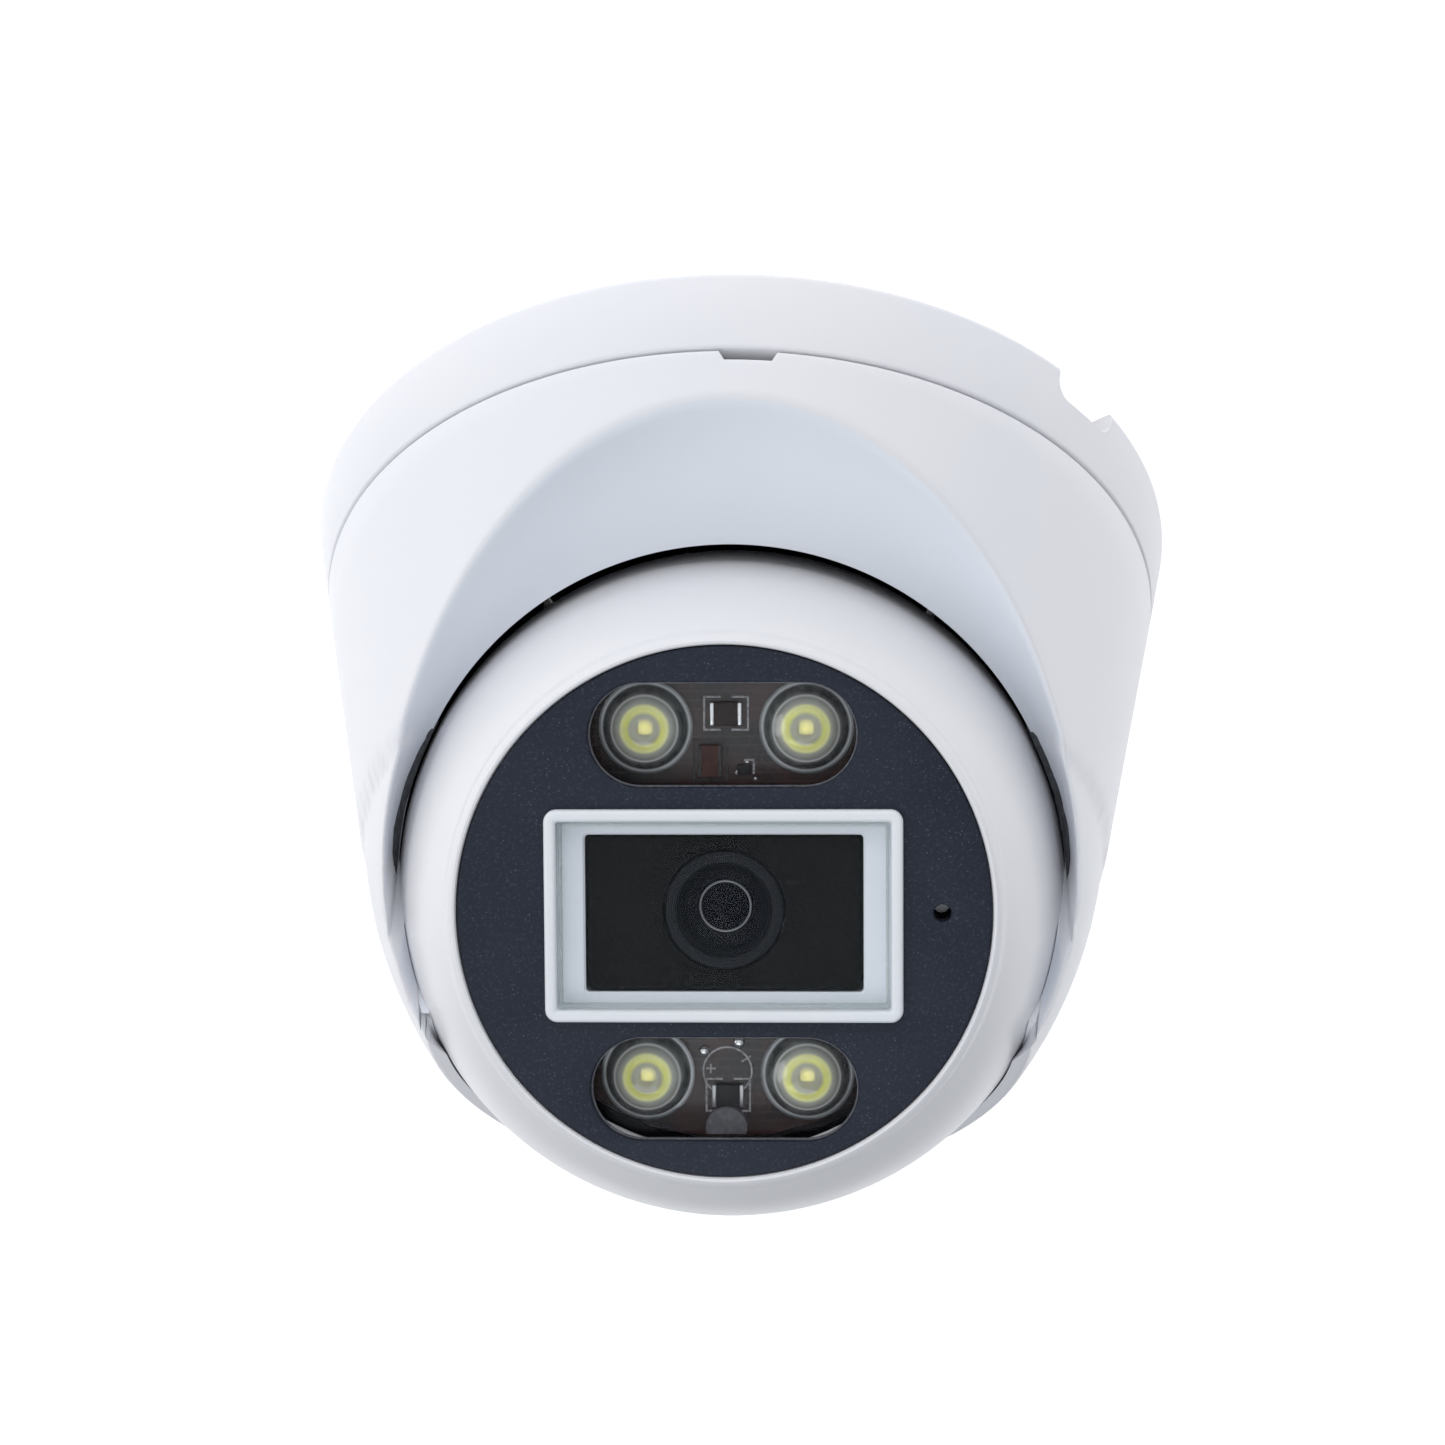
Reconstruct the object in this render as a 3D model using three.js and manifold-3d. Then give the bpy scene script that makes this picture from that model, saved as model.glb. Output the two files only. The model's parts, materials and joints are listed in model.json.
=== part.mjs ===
// Turret-style dome camera, millimetres. z = 0 is the mounting face and +Z points away from the
// surface it is screwed to; the lens looks towards -Y and outwards. The ball and everything in it
// are drawn in the ball's own frame (z along the lens) and carried by one turned group.
import * as THREE from "three";
import { mergeVertices } from "three/addons/utils/BufferGeometryUtils.js";
import Module from "manifold-3d";

const wasm = await Module();
wasm.setup();

// Driving dimensions
const round = 40; // facets of the large turned pieces
const small = 12; // facets of the small ones
const gap = 0.15; // assembly gap between pieces that touch
const seamZ = 10.3; // joint between mounting base and cover
const baseRadius = 46.7; // at the mounting face
const taper = 0.193; // loss of radius per millimetre of height
const coverTop = 62;
const shoulder = { from: 45.5, axis: -11.1, z: 34.3, radius: 50.1 }; // the arc that closes in round the ball
const coverWall = 1.7;
const coverTurn = -3; // degrees: the clips and the pry slot, as turned from the lens
const ballZ = 43.03;
const ballRadius = 34.57;
const cavityRadius = 35.1; // the cover's and bracket's seat round the ball
const tilt = 49.2; // degrees between the lens and +Z
const fasciaRadius = 26.35;
const fasciaFront = 21.83; // measured along the lens from the ball's centre
const fasciaThick = 2;
const scoop = { turn: -1, tilt: 46.7, outer: 12.4, side: 8.5, front: 7, halfWidth: 34, reach: 36.4 };
const scoopWall = 2.2;
const pryTop = 4.8, pryBottom = 5.9, pryHeight = 1.2; // widths and height of the pry slot
const skirtRadius = 42.5; // inside of the base skirt
const floorThick = 2.6;
const hub = { inner: 22.5, outer: 25, top: 7.6, seat: 29.5, seatTop: 5 };
const channel = { turn: -53, width: 9.4, height: 3.4, corner: 2 }; // side outlet for the cable
const wallHole = { at: 34, radius: 2.3, count: 3 };
const table = { inner: 25.3, outer: 39.5, low: 5.6, high: 7.4, rim: 37.6, rimTop: 12 };
const retainer = { inner: 21.5, outer: 28.5, low: 7.75, high: 9.2, screwAt: 23.7, screws: 2 };
const bracket = { low: 34, high: 46.4, legIn: 34.2, legOut: 37.2, legWidth: 9 };
const legTurns = [110, 180, -110];
const belt = { low: -12, high: 2, outer: 34.5, inner: 32.7 }; // tilt ring, along the lens axis
const trunnion = { radius: 2, tip: 35.8 };
const coreRadius = 32.2; // the shells where the tilt ring runs over them
const hollowRadius = 30.2; // inside of the ball
const sealZ = -5.5;
const shellScrew = { at: 26, seat: -16, count: 3 };
const pill = { length: 26.5, height: 10.4, y: 17.6, spacing: 16.1 };
const bezel = { width: 35.3, height: 21.1, corner: 1.2, border: 1.2, front: 22.75, y: 0.25 };
const throatBack = 14.8; // how far the bezel reaches back round the foam
const foam = { width: 27.1, height: 15.3, front: 20.2, back: 17.7 };
const ledBoard = { radius: 24.3, front: 13.2, thick: 1.2 };
const ledLens = { radius: 4.72, dome: 2.4 };
const lens = { radius: 5.95, front: 20, back: 3.2, mouth: 4.75 };
const microphone = { x: -21.5, radius: 2.4 };
const sensorBoard = { width: 50, height: 17, front: -3.15, thick: 1.2 };
const mainBoard = { width: 34, height: 34, front: -11.3, thick: 1.2 };

const rad = THREE.MathUtils.degToRad;

// Solids

// A closed three.js geometry as a manifold solid.
function solid(geometry) {
  for (const name of ["normal", "uv"]) geometry.deleteAttribute(name);
  const merged = mergeVertices(geometry, 1e-4);
  const index = merged.index.array;
  const kept = [];
  for (let i = 0; i < index.length; i += 3) {
    const [a, b, c] = index.subarray(i, i + 3);
    if (a !== b && b !== c && a !== c) kept.push(a, b, c);
  }
  const vertProperties = new Float32Array(merged.attributes.position.array);
  const triVerts = new Uint32Array(kept);
  return new wasm.Manifold(new wasm.Mesh({ numProp: 3, vertProperties, triVerts }));
}

// Turned solid about Z from [radius, z] points that run counter-clockwise.
function turned(profile, facets = round) {
  const points = profile.map(([r, z]) => new THREE.Vector2(r, z));
  if (profile[0][0] > 0) points.push(points[0].clone());
  return solid(new THREE.LatheGeometry(points, facets).rotateX(Math.PI / 2));
}

const disc = (radius, low, high, x = 0, y = 0, facets = small) =>
  turned([[0, low], [radius, low], [radius, high], [0, high]], facets).translate([x, y, 0]);

const ring = (inner, outer, low, high, facets = round) =>
  turned([[inner, low], [outer, low], [outer, high], [inner, high]], facets);

const block = (x, y, low, high, atX = 0, atY = 0) =>
  solid(new THREE.BoxGeometry(x, y, high - low)).translate([atX, atY, (low + high) / 2]);

// Flat plate with round corners between two heights.
function plate(width, height, corner, low, high, atX = 0, atY = 0, steps = 4) {
  const x = width / 2 - corner, y = height / 2 - corner;
  const shape = new THREE.Shape();
  for (const [cx, cy, start] of [[x, y, 0], [-x, y, 90], [-x, -y, 180], [x, -y, 270]])
    shape.absarc(cx, cy, corner, rad(start), rad(start + 90), false);
  const depth = high - low;
  const made = new THREE.ExtrudeGeometry(shape, { depth, bevelEnabled: false, curveSegments: steps });
  return solid(made).translate([atX, atY, low]);
}

const pillPlate = (grow, low, high, y) =>
  plate(pill.length + 2 * grow, pill.height + 2 * grow, pill.height / 2 + grow - 0.01, low, high, 0, y);

const ball = (radius, facets = round) =>
  solid(new THREE.SphereGeometry(radius, facets, facets / 2).rotateX(Math.PI / 2));

// Points of a circular arc about the origin, by polar angle from +Z.
const arc = (radius, from, to, steps) =>
  Array.from({ length: steps + 1 }, (_, i) => {
    const angle = rad(from + ((to - from) * i) / steps);
    return [radius * Math.sin(angle), radius * Math.cos(angle)];
  });

const polar = (radius, z) => THREE.MathUtils.radToDeg(Math.acos(z / radius));
const aboutZ = (made, degrees) => made.rotate([0, 0, degrees]);
const joined = (list) => list.reduce((sum, piece) => sum.add(piece));
const around = (count, start, make) =>
  joined(Array.from({ length: count }, (_, i) => aboutZ(make(), start + (360 * i) / count)));

// The main body of a cut piece, without the shavings left where two cut surfaces graze.
const largest = (made) => made.decompose().sort((a, b) => b.volume() - a.volume())[0];

// Meshes and groups
const root = new THREE.Group();
root.name = "dome_camera";
const fixed = new THREE.Group();
const head = new THREE.Group();
head.position.z = ballZ;
head.rotation.x = rad(tilt);
root.add(fixed, head);

function mesh(name, made, group, color, more = {}) {
  const { vertProperties, triVerts } = made.getMesh();
  const geometry = new THREE.BufferGeometry();
  geometry.setAttribute("position", new THREE.BufferAttribute(vertProperties, 3));
  geometry.setIndex(new THREE.BufferAttribute(triVerts, 1));
  geometry.computeVertexNormals();
  const look = new THREE.MeshStandardMaterial({ color, roughness: 0.5, flatShading: true, ...more });
  const item = new THREE.Mesh(geometry, look);
  item.name = name;
  group.add(item);
}

const white = 0xe6e6ea, black = 0x17181a, steel = 0xa9adb2, rubber = 0x1c1c1e;
const metal = { metalness: 1, roughness: 0.35 };
const clear = { transparent: true, opacity: 0.35, roughness: 0.05 };

const coneRadius = (z) => baseRadius - taper * z;
const skinRadius = (z) => z < shoulder.from ? coneRadius(z)
  : Math.min(coneRadius(z), shoulder.axis + Math.sqrt(shoulder.radius ** 2 - (z - shoulder.z) ** 2));

// A screw with its head's underside at z = 0 and its shank running up; `down` turns it over.
function screw(headRadius, headHeight, shankRadius, length, down = false) {
  const made = disc(shankRadius, -0.1, length, 0, 0, 8).add(disc(headRadius, -headHeight, 0))
    .subtract(disc(headRadius * 0.45, -headHeight - 1, -headHeight * 0.4, 0, 0, 6));
  return down ? made.rotate([180, 0, 0]) : made;
}

// The scooped front of the cover, as the space above it. The surface climbs from the opening round
// the ball to the cone, and `drop` lowers it so that the same shape also makes the wall's underside.
function scoopSpace(drop, column) {
  const facets = 48, far = 60;
  const across = [0, 0.4, 0.75, 1, 1.3];
  const profile = [[0, 0], [1, 0], ...across.map((u) => [2 + u, u]), [4, far], [0, far]];
  const made = new THREE.LatheGeometry(profile.map(([x, y]) => new THREE.Vector2(x, y)), facets);
  const at = made.attributes.position;
  const lean = rad(scoop.tilt);
  const coneReach = (cos, sin) => { // where the scoop's plane leaves the cone, in this direction
    let low = 30, high = 80;
    for (let i = 0; i < 40; i++) {
      const reach = (low + high) / 2;
      const x = reach * cos;
      const y = -scoop.outer * Math.sin(lean) - reach * sin * Math.cos(lean);
      const z = ballZ + scoop.outer * Math.cos(lean) - reach * sin * Math.sin(lean);
      if (Math.hypot(x, y) < skinRadius(z)) low = reach;
      else high = reach;
    }
    return low;
  };
  for (let i = 0; i <= facets; i++) {
    const turn = (2 * Math.PI * (i % facets)) / facets;
    const sin = Math.cos(turn), cos = Math.sin(turn);
    const down = Math.max(sin, 0);
    const inner = Math.hypot(scoop.halfWidth * cos, (down ? scoop.reach : scoop.halfWidth) * sin);
    const edge = scoop.side - (scoop.side - scoop.front) * down;
    const outer = Math.max(coneReach(cos, sin), inner + 0.4);
    profile.forEach(([, level], j) => {
      const k = i * profile.length + j;
      const u = across[j - 2];
      const rim = j === 0 || j === profile.length - 1;
      const reach = rim ? 0 : j === 1 ? inner : inner + (outer - inner) * (u ?? across.at(-1));
      const height = j < 2 ? edge - column : u === undefined ? level
        : edge + (scoop.outer - edge) * Math.pow(u, 1.4);
      at.setXYZ(k, reach * cos, height - drop, reach * sin);
    });
  }
  return solid(made.rotateX(Math.PI / 2)).rotate([scoop.tilt, 0, 0])
    .translate([0, 0, ballZ]).rotate([0, 0, scoop.turn]);
}

const ballSpace = ball(cavityRadius).translate([0, 0, ballZ]);

// Mounting base with its hub for the turning housing
const cableChannel = aboutZ(plate(channel.width, 2 * channel.height, channel.corner, 18, 58)
  .rotate([90, 0, 0]), channel.turn);
const wallHoles = around(wallHole.count, 60, () => disc(wallHole.radius, -1, 10, 0, wallHole.at));
const hubHoles = around(retainer.screws, 90, () => disc(0.9, 2.5, 10, retainer.screwAt));
const baseBody = turned([
  [hub.inner, 0], [38.4, 0], [38.4, 1.6], [41.6, 1.6], [41.6, 0], [baseRadius, 0],
  [coneRadius(0.4), 0.4], [coneRadius(seamZ) - 0.15, seamZ - gap], [skirtRadius, seamZ - gap],
  [skirtRadius, floorThick], [hub.seat, floorThick], [hub.seat, hub.seatTop],
  [hub.outer, hub.seatTop], [hub.outer, hub.top], [hub.inner, hub.top],
]);
mesh("mounting_base", baseBody.subtract(cableChannel).subtract(wallHoles).subtract(hubHoles), fixed, white);

const gasketRing = ring(38.6, 41.4, 0, 1.4);
const gasketCut = aboutZ(block(channel.width + 1, 40, -1, 4, 0, -38), channel.turn);
mesh("wall_gasket", gasketRing.subtract(gasketCut), fixed, rubber);
mesh("pan_washer", ring(hub.outer + 0.3, hub.seat, hub.seatTop + 0.1, hub.seatTop + 0.5), fixed, 0xdedbd2);

const retainerHoles = around(retainer.screws, 90, () => disc(1.3, 0, 20, retainer.screwAt));
mesh("pan_retainer", ring(retainer.inner, retainer.outer, retainer.low, retainer.high)
  .subtract(retainerHoles), fixed, steel, metal);
for (let i = 0; i < retainer.screws; i++)
  mesh(`retainer_screw_${i + 1}`, aboutZ(screw(1.9, 1.2, 0.75, 5.5, true)
    .translate([retainer.screwAt, 0, retainer.high + 0.05]), 90 + (360 / retainer.screws) * i),
  fixed, steel, metal);

// Turning housing: turntable, ball bracket and clipped-on cover
const legMid = (bracket.legIn + bracket.legOut) / 2;
const legHole = () => disc(1.75, 0, table.low + 1.05, 0, -legMid).add(disc(1.15, 0, 12, 0, -legMid));
const legHoles = joined(legTurns.map((turn) => aboutZ(legHole(), turn)));
mesh("turntable", turned([
  [table.inner, table.low], [table.outer, table.low], [table.outer, 10.6], [40.5, 10.9],
  [40.5, 11.6], [table.outer, table.rimTop], [table.rim, table.rimTop], [table.rim, table.high],
  [table.inner, table.high],
]).subtract(legHoles), fixed, 0x55585c);

const seat = arc(cavityRadius, polar(cavityRadius, bracket.high - ballZ),
  polar(cavityRadius, bracket.low - ballZ), 4).map(([r, z]) => [r, z + ballZ]);
const bracketOuter = (z) => skinRadius(z) - coverWall - 0.45;
const bracketRing = turned([...seat, [bracketOuter(bracket.low), bracket.low],
  [bracketOuter(bracket.high), bracket.high]]);
const legs = joined(legTurns.map((turn) => aboutZ(block(bracket.legWidth,
  bracket.legOut - bracket.legIn, table.high + 0.1, bracket.low + 1, 0, -legMid)
  .subtract(disc(1.1, 0, 16, 0, -legMid)), turn)));
const trunnionHoles = solid(new THREE.CylinderGeometry(trunnion.radius + 0.1, trunnion.radius + 0.1,
  90, small).rotateZ(Math.PI / 2)).translate([0, 0, ballZ]);
mesh("ball_bracket", bracketRing.add(legs).subtract(trunnionHoles)
  .subtract(scoopSpace(scoopWall + 0.4, 6)), fixed, 0x3a3d42);
legTurns.forEach((turn, i) =>
  mesh(`bracket_screw_${i + 1}`, aboutZ(screw(1.6, 1, 1, 7).translate([0, -legMid, table.low + 1]), turn),
    fixed, steel, metal));

const coverBottom = seamZ + gap;
const coverSkin = turned([
  [0, coverBottom], [coneRadius(coverBottom) - 0.15, coverBottom],
  [coneRadius(coverBottom + 0.3), coverBottom + 0.3], [coneRadius(36), 36],
  ...[shoulder.from, 50, 54, 58, coverTop - 0.3].map((z) => [skinRadius(z), z]),
  [skinRadius(coverTop) - 0.3, coverTop], [0, coverTop],
]);
const hollowTop = 51.5; // above this the wall is what the ball leaves of the shoulder
const coverHollow = turned([
  [0, 0], ...[0, shoulder.from, hollowTop].map((z) => [skinRadius(z) - coverWall, z]), [0, hollowTop],
]).subtract(scoopSpace(scoopWall, 0.5));
const pryShape = new THREE.Shape([[-pryBottom / 2, -1], [pryBottom / 2, -1], [pryBottom / 2, 0],
  [pryTop / 2, pryHeight], [-pryTop / 2, pryHeight], [-pryBottom / 2, 0]]
  .map(([x, y]) => new THREE.Vector2(x, y)));
const prySlot = aboutZ(solid(new THREE.ExtrudeGeometry(pryShape, { depth: 8, bevelEnabled: false })
  .rotateX(Math.PI / 2)).translate([0, -39, coverBottom]), coverTurn);
const clip = () => block(8, 1.2, 7.5, 13, 0, -41.3).add(block(8, 2, coverBottom, 13, 0, -42.2))
  .add(block(8, 1.4, 8.4, 10.2, 0, -40.6));
mesh("cover", largest(coverSkin.subtract(coverHollow).subtract(ballSpace).subtract(scoopSpace(0, 4)))
  .add(around(4, 45 + coverTurn, clip)).subtract(prySlot), fixed, white);

// Tilt ring: carries the ball on two trunnions and lets it roll inside
const tiltRing = turned([
  ...arc(belt.outer, polar(belt.outer, belt.low), polar(belt.outer, belt.high), 4),
  ...arc(belt.inner, polar(belt.inner, belt.high), polar(belt.inner, belt.low), 2),
]);
const pinBar = (radius, inner, outer, side) => solid(new THREE.CylinderGeometry(radius, radius,
  outer - inner, small).rotateZ(Math.PI / 2)).translate([side * (inner + outer) / 2, 0, 0]);
const pinHole = pinBar(trunnion.radius + 0.12, 30, 40, 1).add(pinBar(trunnion.radius + 0.12, 30, 40, -1));
mesh("tilt_ring", tiltRing.subtract(pinHole), head, 0xdcdcda);
mesh("trunnion_pin_1", pinBar(trunnion.radius, belt.inner + 0.2, trunnion.tip, 1), head, steel, metal);
mesh("trunnion_pin_2", pinBar(trunnion.radius, belt.inner + 0.2, trunnion.tip, -1), head, steel, metal);

// Ball shells
const screwAngles = Array.from({ length: shellScrew.count }, (_, i) => 30 + (360 * i) / shellScrew.count);
const atScrews = (make) => joined(screwAngles.map((turn) => aboutZ(make(), turn)));
const frontLow = sealZ + 0.5, rearHigh = sealZ - 0.5, beltTop = belt.high + 0.3, beltLow = belt.low - 0.3;
const frontProfile = [
  ...arc(hollowRadius, polar(hollowRadius, 17.2), polar(hollowRadius, frontLow), 3),
  ...arc(coreRadius, polar(coreRadius, frontLow), polar(coreRadius, beltTop), 1),
  ...arc(ballRadius, polar(ballRadius, beltTop), polar(ballRadius, 20.7), 6),
  [27.45, 21.4], [27.1, 21.9], [26.75, 22.1], [26.5, 21.95], [26.5, 19.7], [25.3, 19.7], [25.3, 17.2],
];
const rib = (side) => block(9.4, 8, -3, 3, side * 25.8, 0);
const frontBosses = joined([atScrews(() => disc(4, frontLow, 4, shellScrew.at)), rib(1), rib(-1)])
  .intersect(ball(31, small));
mesh("ball_front_shell", turned(frontProfile).add(frontBosses)
  .subtract(atScrews(() => disc(1.6, frontLow - 1, 1, shellScrew.at)))
  .subtract(joined([1, -1].map((side) => disc(0.95, -4, 1.5, side * 23.4)))), head, white);

const rearProfile = [
  ...arc(ballRadius, 180, polar(ballRadius, beltLow), 6),
  ...arc(coreRadius, polar(coreRadius, beltLow), polar(coreRadius, rearHigh), 1),
  ...arc(hollowRadius, polar(hollowRadius, rearHigh), 180, 4),
];
const rearBosses = atScrews(() => disc(4, -24, rearHigh, shellScrew.at))
  .intersect(ball(ballRadius - 0.6, small));
mesh("ball_rear_shell", turned(rearProfile).add(rearBosses)
  .subtract(atScrews(() => disc(1.6, -30, 0, shellScrew.at)))
  .subtract(atScrews(() => disc(2.9, -30, shellScrew.seat, shellScrew.at)))
  .subtract(disc(5.1, -40, -20)), head, white);
mesh("shell_gasket", ring(28.7, 31.6, sealZ - 0.35, sealZ + 0.35), head, rubber);
screwAngles.forEach((turn, i) =>
  mesh(`shell_screw_${i + 1}`, aboutZ(screw(2.6, 2.2, 1.3, 15.5)
    .translate([shellScrew.at, 0, shellScrew.seat - 0.15]), turn), head, steel, metal));
mesh("cable_bush", turned([[2.6, -34.2], [4.8, -34.2], [4.8, -29], [6.5, -29], [6.5, -27.9], [2.6, -27.9]],
  small), head, rubber);

// Face: fascia, bezel, glass, windows
const fasciaBack = fasciaFront - fasciaThick;
const postAt = [[21.5, 8], [21.5, -8], [-21.5, 8], [-21.5, -8]];
const throatWidth = bezel.width - 1.2, throatHeight = bezel.height - 1.2;
const posts = joined(postAt.map(([x, y]) => disc(1.6, ledBoard.front + 0.1, fasciaBack + 0.1, x, y, 12)));
mesh("fascia", disc(fasciaRadius, fasciaBack, fasciaFront, 0, 0, round).add(posts)
  .subtract(pillPlate(0, 0, 30, pill.y)).subtract(pillPlate(0, 0, 30, -pill.y))
  .subtract(plate(throatWidth + 0.4, throatHeight + 0.4, 0.8, 0, 30, 0, bezel.y))
  .subtract(disc(0.85, 0, 30, microphone.x))
  .subtract(joined(postAt.map(([x, y]) => disc(0.7, 0, 18, x, y, 12)))), head, 0x252d38, { roughness: 0.35 });

const glassBack = bezel.front - 2.2;
const paneWidth = bezel.width - 2 * bezel.border, paneHeight = bezel.height - 2 * bezel.border;
const framePlate = (width, height, corner, low, high) => plate(width, height, corner, low, high, 0, bezel.y);
mesh("bezel_frame", framePlate(bezel.width, bezel.height, bezel.corner, fasciaFront + 0.12, bezel.front)
  .add(framePlate(throatWidth, throatHeight, 0.7, throatBack, fasciaFront + 0.5))
  .subtract(framePlate(paneWidth, paneHeight, 0.5, glassBack, 30))
  .subtract(framePlate(foam.width + 0.4, foam.height + 0.4, 0.4, 0, 30)), head, 0xdfe2e8);
mesh("window_glass", framePlate(paneWidth - 0.4, paneHeight - 0.4, 0.4, glassBack + 0.1, glassBack + 1.6),
  head, 0xbfd4cf, clear);
mesh("foam_baffle", plate(foam.width, foam.height, 0.3, foam.back, foam.front, 0, bezel.y)
  .subtract(disc(lens.radius + 0.25, 0, 30, 0, 0, 20)), head, black);
mesh("ir_window_1", pillPlate(0.3, fasciaBack - 1.3, fasciaBack - 0.15, -pill.y), head, 0x8d93a8, clear);
mesh("ir_window_2", pillPlate(0.3, fasciaBack - 1.3, fasciaBack - 0.15, pill.y), head, 0x8d93a8, clear);

// LED board and what is soldered to it
const boardFront = ledBoard.front, boardBack = boardFront - ledBoard.thick;
mesh("led_board", disc(ledBoard.radius, boardBack, boardFront, 0, 0, 32)
  .subtract(plate(throatWidth + 0.8, throatHeight + 0.8, 0.8, 0, 30, 0, bezel.y))
  .subtract(joined(postAt.map(([x, y]) => disc(0.9, 0, 30, x, y, 12)))), head, 0x1a0f12);
postAt.slice(1, 3).forEach(([x, y], i) => mesh(`led_board_screw_${i + 1}`,
  screw(1.5, 1, 0.55, 3.8).translate([x, y, boardBack - 0.08]), head, steel, metal));
const onBoard = boardFront + 0.08;
const ledSpots = [-1, 1].flatMap((row) => [1, -1].map((side) => [side * pill.spacing / 2, row * pill.y]));
const dome = arc(1, 90, 0, 4).map(([r, z]) => [r * ledLens.radius, onBoard + 0.4 + z * ledLens.dome]);
ledSpots.forEach(([x, y], i) => {
  mesh(`led_lens_${i + 1}`, turned([[2.4, onBoard], [ledLens.radius, onBoard], ...dome,
    [0, onBoard + 1.2], [2.4, onBoard + 1.2]], small).translate([x, y, 0]), head, 0xc9ccd6, clear);
  mesh(`led_emitter_${i + 1}`, block(2.8, 2.8, onBoard, onBoard + 0.8, x, y), head, 0xd9b13b);
});
mesh("resistor_1", block(3.2, 2.4, onBoard, onBoard + 0.7, 0, -pill.y - 1.3), head, 0x202020);
mesh("resistor_2", block(3.2, 2.4, onBoard, onBoard + 0.7, 0, pill.y + 2.3), head, 0x202020);
mesh("led_driver", block(2.4, 3.2, onBoard, onBoard + 1, 1.6, -pill.y + 3.4), head, 0x2a2626);
mesh("microphone", disc(microphone.radius, onBoard, onBoard + 2.4, microphone.x + 0.2), head, steel, metal);
mesh("microphone_boot", disc(2.2, onBoard + 2.6, fasciaBack - 0.1, microphone.x)
  .subtract(disc(0.85, 0, 30, microphone.x)), head, rubber);

// Optics: the threaded lens in its holder, the sliding infrared filter, the sensor
const holderBase = block(26, 16, -3, 2).add(disc(8.2, 1, 12.4, 0, 0, 20));
const lightPath = disc(4.2, -5, 4);
const filterSlot = block(25, 10.6, -0.95, 0.45, 1, 0);
mesh("lens_holder", holderBase.subtract(disc(lens.radius + 0.15, 2.6, 20, 0, 0, 20)).subtract(lightPath)
  .subtract(filterSlot).subtract(block(10.4, 9, -5, -1.5)), head, black);
mesh("filter_carriage", plate(15, 10, 1, -0.75, 0.25, -4, 0)
  .subtract(disc(3.4, -5, 5)).subtract(disc(3.4, -5, 5, -7.2, 0)), head, 0x2f3136);
mesh("infrared_filter", disc(3.25, -0.7, 0.2), head, 0x6fa6a0, clear);
mesh("filter_coil", ring(0.9, 2.3, 2.15, 6.6, 16).translate([10.6, 0, 0]), head, 0xb06a2c);
mesh("lens_barrel", turned([
  [3.6, lens.back], [lens.radius, lens.back], [lens.radius, lens.front - 0.4],
  [lens.radius - 0.4, lens.front],
  [lens.mouth + 0.2, lens.front], [lens.mouth, lens.front - 0.3], [lens.mouth, 17.6], [2.6, 16.8], [2.6, 11],
  [3.6, 10],
], 20), head, black, { metalness: 0.6 });
mesh("lens_front_element", turned([[0, 17.5], [2.2, 17.55], [lens.mouth - 0.15, 18],
  [lens.mouth - 0.15, 18.4], [3.2, 18.9], [1.6, 19.2], [0, 19.3]], small), head, 0x3a3350, clear);
mesh("lens_lock_ring", ring(lens.radius + 0.15, 8.2, 12.6, 14.3, 20), head, steel, metal);
mesh("image_sensor", block(8, 7, sensorBoard.front + 0.08, -1.9), head, 0x1f2a44);

// Electronics behind the lens
const boardHoles = joined([1, -1].map((side) => disc(1.2, -20, 20, side * 23.4)));
mesh("sensor_board", plate(sensorBoard.width, sensorBoard.height, 3, sensorBoard.front - sensorBoard.thick,
  sensorBoard.front).subtract(boardHoles), head, 0x1d4a2e);
[1, -1].forEach((side, i) => mesh(`board_screw_${i + 1}`,
  screw(1.9, 1.2, 0.85, 4.6).translate([side * 23.4, 0, sensorBoard.front - sensorBoard.thick - 0.08]),
  head, steel, metal));
mesh("board_connector", block(22, 4.5, mainBoard.front + 0.08, sensorBoard.front - sensorBoard.thick - 0.08,
  0, 0), head, black);
const mainBack = mainBoard.front - mainBoard.thick;
mesh("main_board", plate(mainBoard.width, mainBoard.height, 5, mainBack, mainBoard.front), head, 0x1d4a2e);
mesh("video_processor", block(12, 12, mainBack - 1.4, mainBack - 0.08), head, black);
const fins = joined([-2, -1, 0, 1, 2].map((i) => block(1.4, 18, mainBack - 7, mainBack - 2, i * 4.1, 0)));
mesh("heat_sink", block(18.5, 18, mainBack - 3.2, mainBack - 1.5).add(fins), head, steel, metal);
mesh("cable_header", block(4.6, 12, mainBack - 4.4, mainBack - 0.08, 15, 0)
  .subtract(block(2.8, 10, mainBack - 8, mainBack - 1.4, 15, 0)), head, 0xe9e4d4);

export default root;
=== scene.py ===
import json
from math import atan2, cos, hypot, pi, radians, sin, sqrt

import bmesh
import bpy
from mathutils import Matrix, Vector


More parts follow.
